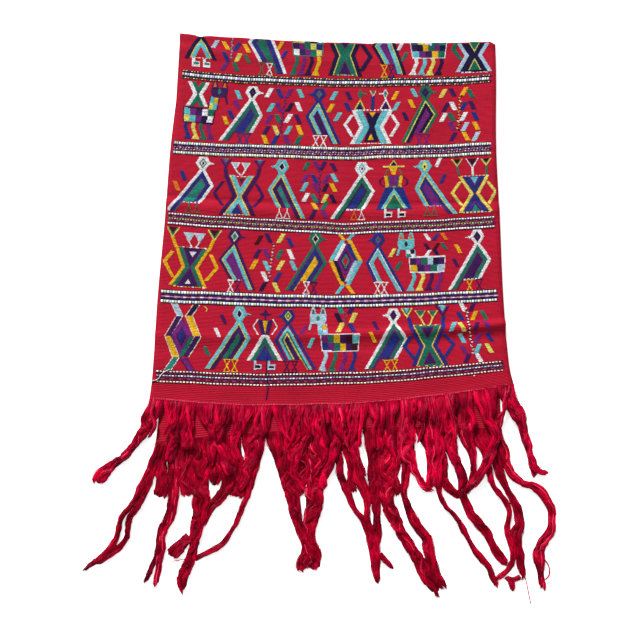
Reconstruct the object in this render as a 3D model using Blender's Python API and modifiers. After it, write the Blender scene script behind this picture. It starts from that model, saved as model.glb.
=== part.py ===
"""A handwoven brocaded throw, folded in half across its width and laid flat.

The cloth is one long strip that goes down from the upper hem, round the fold and
back underneath. Each short end has a fringe of its own: the upper one is short and
tangled, and the lower one is long and lies on the surface beyond the cloth.

Metres, +Z up, +Y towards the fold. The origin is the centre of the outline, at the
level of the surface that the throw lies on.
"""
import math
from collections import namedtuple

import bmesh
import bpy

MM = 0.001
GAP = 0.3 * MM

# Cloth: its thickness, and the clear height between its two layers
CLOTH_THICK = 1.6 * MM
LAYER_GAP = 1.8 * MM
UPPER_LEVEL = CLOTH_THICK + LAYER_GAP
FOLD_RADIUS = 2.6 * MM
FOLD_LIFT = 0.2 * MM
FOLD_STEPS = 7
FOLD_EASE = 24 * MM
COLUMNS = 18
UPPER_PLAIN_ROWS = 30
LOWER_PLAIN_ROWS = 8

# The centre of the outline, in the frame in which the cloth was measured
CENTRE_X = 2.3 * MM
CENTRE_Y = 56.0 * MM

# Where each line across the cloth lies: its distance from the fold along the cloth,
# the side edges there, and the line's height on the surface at its ends and middle
Line = namedtuple("Line", "name along left_x right_x left_y middle_y right_y")
UPPER_LINES = (
    Line("fold", 0, -259.5, 323.5, 563.0, 543.0, 545.5),
    Line("band 1", 86, -257.5, 321.0, 475.5, 457.5, 466.5),
    Line("band 2", 229, -266.0, 313.5, 325.5, 314.5, 323.0),
    Line("band 3", 372, -269.5, 312.5, 188.5, 171.0, 181.0),
    Line("band 4", 509, -275.0, 310.5, 43.0, 34.0, 44.0),
    Line("band 5", 647, -277.0, 313.5, -98.0, -103.5, -79.0),
    Line("hem", 693, -280.0, 319.5, -138.5, -148.0, -112.5),
)
LOWER_LINES = (
    Line("fold", 0, -259.5, 323.5, 563.0, 543.0, 545.5),
    Line("under band 3", 372, -263.0, 307.0, 182.0, 171.0, 178.0),
    Line("under the hem", 680, -263.5, 296.0, -148.0, -137.0, -135.0),
    Line("lower end", 740, -266.5, 296.0, -211.5, -188.5, -189.0),
)

# Woven ribs that stand out along the hem and along the end that shows below it
Ribs = namedtuple("Ribs", "count pitch height")
HEM_RIBS = Ribs(count=12, pitch=3.3 * MM, height=0.5 * MM)
END_RIBS = Ribs(count=15, pitch=3.8 * MM, height=0.5 * MM)
RIB_MARGIN = 2.0 * MM
RIB_FOOT = 0.06 * MM

# Soft relief of the upper layer: a low swell, creases from earlier folding, each as a
# ridge or, with a negative height, a trough, and where it crosses the two side edges
SWELL = 1.6 * MM
SWELL_MARGIN = 40 * MM
Crease = namedtuple("Crease", "name left_along right_along left_height right_height half_width")
CREASES = (
    Crease("first storage fold", 326, 329, -1.5, -1.3, 9),
    Crease("its raised side", 349, 352, 1.3, 0.8, 12),
    Crease("second storage fold", 577, 567, 1.2, 5.4, 10),
    Crease("its hollow side", 602, 594, -0.8, -1.4, 12),
    Crease("rumple below the fold", 34, 52, 1.8, 0.4, 13),
    Crease("slack over band 2", 240, 222, 0.3, 1.2, 16),
)

# Fringe strips and the locks' own sizes
STRIP_DEPTH = 7 * MM
LOCK_HEIGHT = 2.8 * MM
LOCK_TIP_HEIGHT = 1.3 * MM
LOCK_TOP_SHARE = 0.5
ROOT_EMBED = 0.2 * MM
ROOT_INSET = 4 * MM
LOCK_STEP = 12 * MM
LEAST_STEPS = 3
TURN_REACH = 4 * MM

# Shares of a lock's length: where its height begins to taper, and where it has
# reached its own level
TAPER_FROM = 0.6
RISE_SHARE = 0.15

# A lock's sizes are in millimetres. Its places follow its middle from the root to the tip,
# each with x and y in the frame in which the cloth was measured, and the lock's width
# there. One without a root's distance, at, begins inside another lock. From drop on,
# measured along it, a lock comes down to the surface within DROP_LENGTH
DROP_LENGTH = 46
Lock = namedtuple("Lock", "at places level drop", defaults=(0, 0))

# Upper fringe, from left to right: at is the root's distance from the hem's left end
UPPER_LOCKS = (
    Lock(9, ((-276, -158, 26), (-280, -173, 24), (-285, -188, 19), (-292, -200, 15), (-298, -209, 12),
         (-308, -223, 12), (-320, -236, 12), (-334, -246, 14), (-345, -256, 19), (-352, -266, 24),
         (-356, -276, 17)), drop=26),
    Lock(39, ((-239, -159, 23), (-234, -181, 20), (-236, -206, 18), (-240, -229, 15), (-241, -242, 10))),
    Lock(62, ((-217, -159, 20), (-216, -181, 20), (-216, -200, 21), (-214, -218, 21))),
    Lock(91, ((-188, -160, 17), (-181, -174, 18), (-176, -190, 13), (-173, -209, 11), (-174, -232, 10),
         (-174, -249, 6))),
    Lock(124, ((-160, -166, 30), (-165, -183, 20), (-166, -200, 15), (-162, -216, 16),
         (-152, -234, 18), (-145, -247, 16))),
    Lock(156, ((-124, -156, 21), (-127, -171, 18), (-133, -188, 15), (-139, -204, 13), (-137, -223, 11),
         (-132, -239, 8))),
    Lock(186, ((-95, -165, 28), (-97, -178, 25), (-99, -193, 23), (-104, -213, 21), (-110, -232, 21),
         (-116, -252, 21), (-125, -272, 19), (-132, -284, 16))),
    Lock(218, ((-62, -160, 18), (-59, -174, 15), (-57, -191, 13), (-52, -208, 12), (-47, -223, 11),
         (-45, -240, 11))),
    Lock(233, ((-47, -159, 15), (-46, -176, 13), (-44, -194, 11), (-39, -216, 10))),
    Lock(258, ((-23, -159, 29), (-23, -178, 26), (-26, -198, 21), (-32, -218, 18), (-39, -236, 14),
         (-43, -252, 13), (-38, -267, 12), (-30, -277, 13), (-23, -284, 8))),
    Lock(288, ((7, -164, 23), (3, -180, 23), (2, -200, 21), (3, -219, 18), (6, -236, 13), (-2, -252, 11),
         (-10, -263, 8))),
    Lock(318, ((38, -159, 21), (34, -178, 18), (29, -198, 15), (25, -218, 15), (21, -236, 13),
         (13, -254, 13), (6, -270, 11), (7, -286, 14))),
    Lock(344, ((62, -164, 21), (59, -176, 19), (56, -190, 15), (54, -209, 13), (58, -229, 11),
         (64, -247, 11), (71, -263, 10))),
    Lock(374, ((94, -163, 22), (95, -174, 19), (94, -186, 16), (96, -203, 13), (97, -221, 8))),
    Lock(397, ((115, -153, 15), (116, -170, 13), (115, -191, 13), (115, -211, 13), (119, -232, 11))),
    Lock(425, ((144, -151, 26), (143, -173, 24), (141, -194, 28), (141, -216, 27), (142, -234, 24),
         (148, -249, 14), (156, -262, 10), (162, -275, 10), (168, -284, 10), (177, -289, 8))),
    Lock(452, ((172, -151, 21), (174, -170, 18), (176, -191, 16), (178, -213, 15), (179, -234, 15),
         (178, -254, 14), (177, -272, 13), (174, -286, 11))),
    Lock(474, ((193, -148, 21), (193, -166, 18), (193, -186, 16), (194, -206, 15), (194, -226, 15),
         (190, -246, 14), (187, -265, 14), (185, -284, 13))),
    Lock(494, ((213, -146, 25), (213, -166, 23), (213, -186, 21), (212, -206, 19), (214, -223, 16),
         (219, -241, 14), (225, -255, 13), (228, -272, 16), (228, -286, 13))),
    Lock(521, ((240, -142, 21), (240, -163, 20), (239, -183, 16), (242, -201, 13), (247, -218, 11),
         (247, -239, 8), (246, -258, 8), (242, -275, 10))),
    Lock(541, ((264, -141, 13), (268, -156, 13), (272, -171, 15), (279, -186, 15), (285, -201, 13),
         (280, -218, 14), (272, -234, 15), (264, -250, 15), (255, -265, 14), (244, -278, 13),
         (233, -288, 10)), level=3.0),
    Lock(558, ((279, -134, 15), (281, -149, 11), (281, -164, 8))),
    Lock(584, ((309, -134, 25), (318, -151, 26), (324, -166, 23), (329, -180, 17), (332, -194, 14),
         (335, -209, 13), (339, -226, 11), (342, -241, 12), (344, -254, 11), (343, -267, 6)), drop=40),
)

# Lower fringe, from left to right: at is the root's distance from that end's left end
LOWER_LOCKS = (
    Lock(3, ((-268, -226, 10), (-272, -242, 10), (-277, -262, 10), (-287, -283, 10), (-292, -299, 10),
         (-303, -315, 9), (-314, -330, 7), (-318, -348, 7), (-321, -363, 9), (-329, -379, 11),
         (-342, -393, 9), (-356, -402, 8), (-368, -410, 5))),
    Lock(8, ((-263, -226, 10), (-266, -242, 10), (-270, -263, 10), (-278, -286, 10), (-285, -304, 10),
         (-294, -319, 9), (-302, -332, 9), (-303, -348, 8), (-305, -362, 8), (-312, -374, 8),
         (-326, -386, 9), (-339, -396, 8), (-351, -404, 6))),
    Lock(14, ((-256, -231, 16), (-254, -255, 18), (-254, -278, 20), (-256, -296, 26))),
    Lock(24, ((-242, -226, 10), (-240, -255, 8), (-238, -280, 9), (-238, -300, 9), (-239, -319, 9),
         (-244, -335, 9), (-252, -349, 8), (-254, -363, 7), (-253, -377, 8), (-257, -391, 7),
         (-263, -407, 7), (-267, -420, 6), (-273, -433, 5))),
    Lock(34, ((-232, -226, 10), (-231, -255, 9), (-230, -280, 10), (-230, -300, 9), (-232, -319, 9),
         (-236, -334, 9), (-244, -348, 8), (-248, -363, 7), (-246, -377, 9), (-251, -394, 9),
         (-252, -408, 9), (-254, -424, 8), (-255, -437, 9))),
    Lock(50, ((-215, -226, 22), (-215, -249, 24), (-214, -272, 24), (-211, -294, 19))),
    Lock(71, ((-194, -229, 29), (-192, -255, 29), (-190, -288, 28), (-189, -310, 29), (-191, -327, 25),
         (-194, -345, 20), (-197, -363, 17), (-199, -379, 14), (-202, -393, 15), (-207, -405, 16),
         (-212, -417, 19), (-214, -430, 16), (-212, -445, 6))),
    Lock(90, ((-175, -222, 19), (-171, -242, 22), (-168, -262, 20), (-169, -277, 12))),
    Lock(106, ((-157, -226, 23), (-153, -246, 23), (-148, -265, 22), (-149, -281, 22), (-159, -298, 17),
         (-171, -312, 14), (-179, -326, 11), (-186, -342, 8))),
    Lock(129, ((-136, -223, 19), (-132, -242, 19), (-132, -262, 22), (-132, -280, 26), (-134, -296, 26))),
    Lock(148, ((-116, -219, 13), (-112, -247, 13), (-113, -272, 12), (-115, -292, 9), (-122, -312, 8),
         (-128, -326, 7), (-132, -338, 7), (-140, -352, 6), (-148, -365, 7), (-158, -376, 8),
         (-172, -383, 8), (-183, -388, 8), (-192, -393, 8), (-202, -398, 9))),
    Lock(169, ((-95, -214, 11), (-100, -234, 11), (-104, -252, 11), (-109, -272, 10), (-113, -289, 6))),
    Lock(187, ((-76, -213, 13), (-69, -232, 13), (-64, -250, 12), (-58, -270, 11), (-53, -288, 10))),
    Lock(206, ((-63, -216, 19), (-57, -247, 24), (-50, -275, 23), (-44, -299, 23), (-40, -318, 19),
         (-36, -337, 16), (-28, -354, 16), (-22, -371, 14), (-24, -387, 13), (-26, -402, 22),
         (-26, -414, 22))),
    Lock(234, ((-32, -216, 27), (-30, -239, 28), (-31, -260, 27), (-34, -278, 23), (-37, -293, 17))),
    Lock(268, ((-2, -216, 36), (-2, -242, 34), (-6, -272, 30), (-9, -299, 30), (-11, -319, 26),
         (-14, -337, 24), (-18, -354, 20), (-16, -371, 19), (-10, -384, 23), (-10, -401, 23),
         (-10, -414, 22))),
    Lock(287, ((23, -213, 16), (20, -229, 13), (18, -246, 10))),
    Lock(298, ((29, -219, 13), (31, -241, 12), (33, -262, 11), (41, -283, 14), (47, -299, 9), (52, -312, 8),
         (61, -325, 8), (70, -338, 10), (76, -354, 10), (80, -371, 10), (83, -390, 11), (86, -408, 11),
         (91, -436, 6))),
    Lock(312, ((43, -216, 16), (47, -236, 13), (49, -255, 9), (50, -272, 13), (53, -289, 16))),
    Lock(322, ((55, -216, 13), (56, -239, 14), (61, -263, 19), (70, -284, 19), (76, -302, 14), (75, -316, 8),
         (74, -329, 9), (78, -345, 11), (84, -362, 13), (87, -379, 14), (88, -398, 12), (89, -416, 9),
         (91, -434, 6))),
    Lock(350, ((82, -216, 16), (85, -242, 16), (86, -268, 19), (88, -291, 19), (89, -308, 14),
         (90, -323, 11), (90, -338, 13), (90, -356, 13), (89, -374, 13))),
    Lock(372, ((107, -216, 29), (106, -242, 32), (106, -268, 32), (106, -291, 26), (108, -308, 22),
         (114, -324, 21), (122, -342, 18), (132, -360, 16), (142, -377, 17), (152, -393, 19),
         (160, -408, 20), (168, -424, 20), (177, -436, 20), (187, -446, 16))),
    Lock(389, ((123, -213, 17), (123, -236, 18), (122, -252, 15), (119, -264, 9), (121, -278, 15),
         (125, -293, 15))),
    Lock(405, ((138, -213, 19), (138, -239, 16), (138, -258, 13), (136, -275, 12), (134, -291, 10),
         (137, -307, 10), (143, -323, 13), (150, -338, 15), (160, -352, 17), (168, -363, 17),
         (170, -379, 17), (174, -394, 17), (178, -410, 17), (183, -424, 16), (191, -439, 12))),
    Lock(438, ((176, -213, 15), (184, -234, 15), (188, -255, 13), (189, -275, 10), (191, -294, 7),
         (200, -312, 6), (210, -324, 6), (220, -337, 7), (227, -351, 8), (235, -367, 7), (242, -380, 8),
         (252, -394, 10), (262, -405, 10), (267, -416, 8), (271, -427, 10), (277, -437, 9))),
    Lock(455, ((191, -211, 18), (195, -232, 18), (198, -252, 16), (198, -268, 14), (204, -281, 14),
         (214, -291, 12), (225, -298, 11))),
    Lock(474, ((210, -214, 18), (215, -232, 15), (222, -250, 12), (228, -272, 15), (228, -292, 13),
         (232, -308, 13), (239, -324, 15), (250, -338, 15), (261, -352, 14), (269, -368, 13),
         (277, -384, 13), (287, -398, 13), (293, -408, 9))),
    Lock(504, ((238, -211, 11), (244, -226, 9), (247, -246, 8), (246, -263, 8), (240, -278, 10),
         (231, -290, 11))),
    Lock(520, ((258, -206, 15), (266, -224, 13), (270, -242, 13), (272, -260, 10), (276, -278, 7),
         (285, -291, 9), (295, -304, 8), (300, -319, 7), (298, -335, 7), (296, -351, 10), (300, -370, 11),
         (303, -385, 9), (301, -399, 8), (294, -411, 8), (283, -420, 8), (274, -426, 6))),
    Lock(538, ((272, -203, 15), (281, -223, 15), (285, -242, 16), (289, -262, 14), (297, -281, 11),
         (305, -297, 10), (311, -312, 12), (315, -327, 16), (316, -342, 17), (309, -357, 20),
         (308, -373, 18), (312, -388, 15), (314, -404, 12), (316, -414, 11), (315, -425, 9))),
    Lock(553, ((295, -216, 19), (299, -236, 16), (303, -250, 14), (311, -266, 13), (324, -275, 10),
         (338, -279, 11), (351, -288, 16), (362, -304, 16), (368, -321, 12),
         (367, -337, 12), (364, -351, 15), (355, -363, 15), (348, -375, 16), (343, -388, 19),
         (343, -402, 15), (344, -416, 10), (345, -430, 11), (345, -443, 9))),
    Lock(None, ((-206, -360, 16), (-218, -374, 20), (-232, -388, 20))),
    Lock(None, ((94, -387, 9), (103, -398, 9), (112, -408, 4))),
    Lock(None, ((312, -422, 8), (300, -427, 8), (291, -425, 6))),
    Lock(None, ((297, -425, 11), (299, -440, 4))),
)

# Colours as seen in a plain light
CLOTH_COLOUR = (0.52, 0.012, 0.035, 1.0)
FRINGE_COLOUR = (0.58, 0.005, 0.040, 1.0)


def clear_scene():
    for obj in list(bpy.data.objects):
        bpy.data.objects.remove(obj, do_unlink=True)


def yarn_material(name, colour, roughness):
    material = bpy.data.materials.new(name)
    material.use_nodes = True
    shader = material.node_tree.nodes["Principled BSDF"]
    shader.inputs["Base Color"].default_value = colour
    shader.inputs["Roughness"].default_value = roughness
    shader.inputs["Metallic"].default_value = 0.0
    return material


def mix(first, second, share):
    return first + (second - first) * share


def smooth_step(share):
    share = min(1.0, max(0.0, share))
    return share * share * (3.0 - 2.0 * share)


def along_curve(distances, values, distance):
    """A smooth curve through the values at the given distances."""
    last = len(distances) - 1
    for low in range(last):
        if distance <= distances[low + 1] or low == last - 1:
            break
    high = low + 1

    def slope(index):
        before, after = max(0, index - 1), min(last, index + 1)
        return (values[after] - values[before]) / (distances[after] - distances[before])

    span = distances[high] - distances[low]
    t = (distance - distances[low]) / span
    rise_low, rise_high = slope(low) * span, slope(high) * span
    return ((2 * t**3 - 3 * t**2 + 1) * values[low] + (t**3 - 2 * t**2 + t) * rise_low
            + (3 * t**2 - 2 * t**3) * values[high] + (t**3 - t**2) * rise_high)


def across(left, middle, right, side):
    """A bowed line through its two ends and its middle; side goes from -1 to 1."""
    return (left * side * (side - 1) / 2 + middle * (1 - side * side)
            + right * side * (side + 1) / 2)


def on_surface(lines, side, along):
    """The place on the surface of a point of a layer, seen from above."""
    distances = [line.along * MM for line in lines]

    def read(column):
        return along_curve(distances, [getattr(line, column) * MM for line in lines], along)

    x = mix(read("left_x"), read("right_x"), (side + 1) / 2)
    y = across(read("left_y"), read("middle_y"), read("right_y"), side)
    return x - CENTRE_X, y - CENTRE_Y


def relief(side, along):
    """How far the upper layer stands above its lowest level."""
    length = UPPER_LINES[-1].along * MM
    from_ends = min(along, length - along)
    height = SWELL * smooth_step(from_ends / SWELL_MARGIN)
    for crease in CREASES:
        share = (side + 1) / 2
        middle = mix(crease.left_along, crease.right_along, share) * MM
        rise = mix(crease.left_height, crease.right_height, share) * MM
        distance = (along - middle) / (crease.half_width * MM)
        height += rise * math.exp(-distance * distance)
    return max(0.0, height) * smooth_step((length - along) / SWELL_MARGIN)


def rib_rows(length, ribs):
    """Distances of the ribs' valleys and crests, from the layer's end inwards."""
    return [length - RIB_MARGIN - ribs.pitch * half / 2 for half in range(2 * ribs.count + 1)]


def rib_rise(length, ribs, along):
    """How far a row of a ribbed stretch is raised: a crest at every second row."""
    half = round((length - RIB_MARGIN - along) / (ribs.pitch / 2))
    if half < 0 or half > 2 * ribs.count:
        return 0.0
    return ribs.height if half % 2 else RIB_FOOT


def upper_rows():
    """Distances of the upper layer's rows, from the hem to where the fold begins."""
    length = UPPER_LINES[-1].along * MM
    ribbed = rib_rows(length, HEM_RIBS)
    plain = [ribbed[-1] * (1 - row / UPPER_PLAIN_ROWS) for row in range(1, UPPER_PLAIN_ROWS + 1)]
    return [length] + ribbed + plain


def lower_rows():
    """Distances of the lower layer's rows, from where the fold ends to its end."""
    length = LOWER_LINES[-1].along * MM
    ribbed = rib_rows(length, END_RIBS)[::-1]
    plain = [ribbed[0] * row / LOWER_PLAIN_ROWS for row in range(LOWER_PLAIN_ROWS)]
    return plain + ribbed + [length]


def cloth_points(side):
    """The cloth's middle surface on one line from the hem, round the fold, to the end."""
    upper_length = UPPER_LINES[-1].along * MM
    lower_length = LOWER_LINES[-1].along * MM
    low = CLOTH_THICK / 2
    high = UPPER_LEVEL + low
    loop_bottom = low + FOLD_LIFT
    loop_top = loop_bottom + 2 * FOLD_RADIUS
    points = []
    for along in upper_rows():
        x, y = on_surface(UPPER_LINES, side, along)
        eased = smooth_step(along / FOLD_EASE)
        z = high + relief(side, along) + rib_rise(upper_length, HEM_RIBS, along)
        points.append((x, y - FOLD_RADIUS * (1 - eased), mix(loop_top, z, eased)))
    fold_x, fold_y = on_surface(UPPER_LINES, side, 0.0)
    for step in range(1, FOLD_STEPS):
        turn = math.pi * step / FOLD_STEPS
        points.append((fold_x, fold_y + FOLD_RADIUS * (math.sin(turn) - 1),
                       loop_bottom + FOLD_RADIUS * (1 + math.cos(turn))))
    for along in lower_rows():
        x, y = on_surface(LOWER_LINES, side, along)
        eased = smooth_step(along / FOLD_EASE)
        z = low + rib_rise(lower_length, END_RIBS, along)
        points.append((x, y - FOLD_RADIUS * (1 - eased), mix(loop_bottom, z, eased)))
    return points


def sheet_mesh(name, lines_of_points):
    """An open sheet through lines of points, one line for each column."""
    columns, rows = len(lines_of_points) - 1, len(lines_of_points[0]) - 1
    mesh = bpy.data.meshes.new(name)
    work = bmesh.new()
    bmesh.ops.create_grid(work, x_segments=columns, y_segments=rows, size=0.5)
    for vertex in work.verts:
        column = round((vertex.co.x + 0.5) * columns)
        row = round((0.5 - vertex.co.y) * rows)
        vertex.co = lines_of_points[column][row]
    work.to_mesh(mesh)
    work.free()
    return mesh


def solid_sheet(name, lines_of_points, collection):
    """A sheet of cloth of even thickness around its middle surface."""
    obj = bpy.data.objects.new(name, sheet_mesh(name, lines_of_points))
    collection.objects.link(obj)
    solidify = obj.modifiers.new("Thickness", "SOLIDIFY")
    solidify.thickness = CLOTH_THICK
    solidify.offset = 0.0
    solidify.use_even_offset = True
    return obj


def make_cloth(collection):
    sides = [2 * column / COLUMNS - 1 for column in range(COLUMNS + 1)]
    cloth = solid_sheet("throw_cloth", [cloth_points(side) for side in sides], collection)
    cloth.data.materials.append(yarn_material("brocaded red cotton", CLOTH_COLOUR, 0.85))


def lock_route(lock, lines):
    """The distances of a lock's places along it, and its middles and widths there."""
    places = [(x * MM - CENTRE_X, y * MM - CENTRE_Y, width * MM) for x, y, width in lock.places]
    if lock.at is not None:
        end = lines[-1]
        side = 2 * lock.at / (end.right_x - end.left_x) - 1
        x, y = on_surface(lines, side, end.along * MM)
        places.insert(0, (x, y - GAP - ROOT_INSET, places[0][2]))
    distances = [0.0]
    for (x, y, _), (next_x, next_y, _) in zip(places[:-1], places[1:]):
        distances.append(distances[-1] + math.hypot(next_x - x, next_y - y))
    return distances, places


def strip_line(lines, level):
    """A fringe's backing strip: the middle surface below the cloth's edge."""
    lines_of_points = []
    for column in range(COLUMNS + 1):
        side = 2 * column / COLUMNS - 1
        x, y = on_surface(lines, side, lines[-1].along * MM)
        top, bottom = y - GAP, y - GAP - STRIP_DEPTH
        height = level + CLOTH_THICK / 2
        lines_of_points.append([(x, top, height), (x, bottom, height)])
    return lines_of_points


def width_at(distances, places, distance):
    """The lock's width at a distance along it."""
    for low in range(len(places) - 1):
        if distance <= distances[low + 1]:
            break
    share = (distance - distances[low]) / (distances[low + 1] - distances[low])
    return mix(places[low][2], places[low + 1][2], min(1.0, share))


def lock_sections(lock, lines, level):
    """Four-sided sections along a lock's bent route, flat side down."""
    distances, places = lock_route(lock, lines)
    length = distances[-1]

    def middle(distance):
        return [along_curve(distances, [place[axis] for place in places], distance) for axis in (0, 1)]

    steps = max(LEAST_STEPS, round(length / LOCK_STEP))
    sections = []
    for index in range(steps + 1):
        share = index / steps
        x, y = middle(share * length)
        before = middle(max(0.0, share * length - TURN_REACH))
        after = middle(min(length, share * length + TURN_REACH))
        lean = math.atan2(after[0] - before[0], before[1] - after[1])
        half = width_at(distances, places, share * length) / 2
        tapered = smooth_step((share - TAPER_FROM) / (1 - TAPER_FROM))
        height = mix(LOCK_HEIGHT, LOCK_TIP_HEIGHT, tapered)
        base = level + lock.level * MM * smooth_step(share / RISE_SHARE)
        if index == 0 and lock.at is not None:
            base, height = level + ROOT_EMBED, CLOTH_THICK - 2 * ROOT_EMBED
        if lock.drop:
            fallen = smooth_step((share * length - lock.drop * MM) / (DROP_LENGTH * MM))
            base = mix(base, 0.0, fallen)
        corners = ((-half, 0), (half, 0), (LOCK_TOP_SHARE * half, height),
                   (-LOCK_TOP_SHARE * half, height))
        sections.append([(x + offset * math.cos(lean), y + offset * math.sin(lean), base + rise)
                         for offset, rise in corners])
    return sections


def add_loft(work, sections):
    """A closed body through four-sided sections."""
    rings = [[work.verts.new(point) for point in section] for section in sections]
    work.faces.new(rings[0][::-1])
    work.faces.new(rings[-1])
    for ring, following in zip(rings[:-1], rings[1:]):
        for corner in range(4):
            beside = (corner + 1) % 4
            work.faces.new((ring[corner], ring[beside], following[beside], following[corner]))


def make_fringe(name, locks, lines, level, collection, tools):
    """A narrow backing strip with its locks grown into it."""
    fringe = solid_sheet(name, strip_line(lines, level), collection)
    fringe.data.materials.append(yarn_material(name + " yarn", FRINGE_COLOUR, 0.6))
    work = bmesh.new()
    for lock in locks:
        add_loft(work, lock_sections(lock, lines, level))
    bmesh.ops.recalc_face_normals(work, faces=work.faces)
    mesh = bpy.data.meshes.new(name + "_locks")
    work.to_mesh(mesh)
    work.free()
    bundle = bpy.data.objects.new(name + "_locks", mesh)
    bundle.hide_render = True
    bundle.display_type = "WIRE"
    tools.objects.link(bundle)
    join = fringe.modifiers.new("Locks", "BOOLEAN")
    join.operation = "UNION"
    join.object = bundle
    join.use_self = True


def main():
    clear_scene()
    throw = bpy.data.collections.new("embroidered_throw")
    tools = bpy.data.collections.new("tools")
    for collection in (throw, tools):
        bpy.context.scene.collection.children.link(collection)
    make_cloth(throw)
    make_fringe("upper_fringe", UPPER_LOCKS, UPPER_LINES, UPPER_LEVEL, throw, tools)
    make_fringe("lower_fringe", LOWER_LOCKS, LOWER_LINES, 0.0, throw, tools)


main()
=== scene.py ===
"""The finish of a handwoven brocaded throw that lies folded in half on a pale floor.

The red ground, its beaded bands, the brocaded figures and the yarns of both fringes are
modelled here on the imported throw. Metres, +Z up, +Y towards the fold.
"""
import math
from collections import namedtuple
from functools import cache

import bpy
import numpy as np
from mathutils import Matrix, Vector
from mathutils.bvhtree import BVHTree


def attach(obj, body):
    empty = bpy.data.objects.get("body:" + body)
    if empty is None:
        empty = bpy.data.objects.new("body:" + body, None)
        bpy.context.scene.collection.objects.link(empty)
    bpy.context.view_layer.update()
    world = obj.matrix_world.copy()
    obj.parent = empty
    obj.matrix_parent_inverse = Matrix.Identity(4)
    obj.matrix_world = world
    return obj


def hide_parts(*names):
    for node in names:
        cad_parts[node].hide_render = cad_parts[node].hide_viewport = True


MM = 0.001
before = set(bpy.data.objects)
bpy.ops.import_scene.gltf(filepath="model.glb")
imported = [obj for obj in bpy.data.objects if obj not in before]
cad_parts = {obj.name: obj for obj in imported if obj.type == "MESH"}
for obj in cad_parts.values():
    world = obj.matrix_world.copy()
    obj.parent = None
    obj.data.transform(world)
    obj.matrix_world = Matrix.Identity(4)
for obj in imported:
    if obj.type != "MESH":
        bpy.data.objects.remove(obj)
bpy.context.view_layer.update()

# The cloth's own sizes, as in the part: its thickness, its two layers and its fold
CLOTH_THICK = 1.6 * MM
LAYER_GAP = 1.8 * MM
UPPER_LEVEL = CLOTH_THICK + LAYER_GAP
FOLD_RADIUS = 2.6 * MM
FOLD_LIFT = 0.2 * MM
FOLD_STEPS = 12
SLOPE_STEP = 0.4 * MM
FOLD_EASE = 24 * MM
FLAT_WIDTH = 0.60

# Margin and reach of the maps that a finish is kept on
MAP_MARGIN = 0.01
MAP_SPAN = 0.98
HALF_MAP_SPAN = 0.47

# The centre of the outline, in the frame in which the cloth was measured
CENTRE_X = 2.3 * MM
CENTRE_Y = 56.0 * MM

# Where each line across the cloth lies: its distance from the fold along the cloth,
# the side edges there, and the line's height on the surface at its ends and middle
Line = namedtuple("Line", "name along left_x right_x left_y middle_y right_y")
UPPER_LINES = (
    Line("fold", 0, -259.5, 323.5, 563.0, 543.0, 545.5),
    Line("band 1", 86, -257.5, 321.0, 475.5, 457.5, 466.5),
    Line("band 2", 229, -266.0, 313.5, 325.5, 314.5, 323.0),
    Line("band 3", 372, -269.5, 312.5, 188.5, 171.0, 181.0),
    Line("band 4", 509, -275.0, 310.5, 43.0, 34.0, 44.0),
    Line("band 5", 647, -277.0, 313.5, -98.0, -103.5, -79.0),
    Line("hem", 693, -280.0, 319.5, -138.5, -148.0, -112.5),
)
LOWER_LINES = (
    Line("fold", 0, -259.5, 323.5, 563.0, 543.0, 545.5),
    Line("under band 3", 372, -263.0, 307.0, 182.0, 171.0, 178.0),
    Line("under the hem", 680, -263.5, 296.0, -148.0, -137.0, -135.0),
    Line("lower end", 740, -266.5, 296.0, -211.5, -188.5, -189.0),
)
UPPER_LENGTH = UPPER_LINES[-1].along * MM
LOWER_LENGTH = LOWER_LINES[-1].along * MM

# Woven ribs: thick ones along the hem and the lower end, and fine ones elsewhere
Ribs = namedtuple("Ribs", "count pitch height")
HEM_RIBS = Ribs(count=12, pitch=3.3 * MM, height=0.5 * MM)
END_RIBS = Ribs(count=15, pitch=3.8 * MM, height=0.5 * MM)
RIB_MARGIN = 2.0 * MM
GROUND_RIB_PITCH = 2.3 * MM
GROUND_RIB_HEIGHT = 0.12 * MM
LOWER_PLAIN_ROWS = 44
GROUND_COLUMNS = 62

# Soft relief of the upper layer: a low swell, and creases from earlier folding, each as a
# ridge or, with a negative height, a trough, and where it crosses the two side edges
SWELL = 1.6 * MM
SWELL_MARGIN = 40 * MM
Crease = namedtuple("Crease", "left_along right_along left_height right_height half_width")
CREASES = (
    # A storage fold and its raised side
    Crease(328, 331, -1.6, -1.6, 6),
    Crease(346, 350, 2.9, 2.2, 11),
    # A second storage fold and its hollow side
    Crease(577, 566, 1.6, 6.2, 9),
    Crease(600, 589, -1.0, -1.6, 10),
    # A rumple below the fold, and slack over band 2
    Crease(34, 52, 1.8, 0.4, 13),
    Crease(240, 222, 0.3, 1.2, 16),
)

# Small unevenness of the folded edge, as hollows with a place across the cloth, a depth
# and a half width, and the rounding of its right corner
Hollow = namedtuple("Hollow", "side depth half_width")
FOLD_HOLLOWS = (Hollow(-0.869, 4.6, 8.0), Hollow(-0.60, -1.2, 18.0), Hollow(-0.107, 2.2, 5.0),
                Hollow(0.20, 1.0, 14.0), Hollow(0.44, -0.8, 20.0))
HOLLOW_FADE = 26 * MM
CORNER_ROUNDING = 7 * MM
CORNER_FROM = 0.962

# Camera: the photo's lens and its place over the point it looks at, on the cloth's top
CAMERA_LENS = 61.9
CAMERA_SENSOR = 36.0
CAMERA_PLACE = (0.0, -0.6145, 1.745)
SEEN_LEVEL = 6.0 * MM

# Light: a soft key from beyond the fold, and fill from all round
KEY_FROM = (-0.35, 1.0, 0.62)
KEY_STRENGTH = 4.8
KEY_SOFTNESS = 14.0
FILL_STRENGTH = 0.44
FLOOR_GLOW = 0.6

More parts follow.
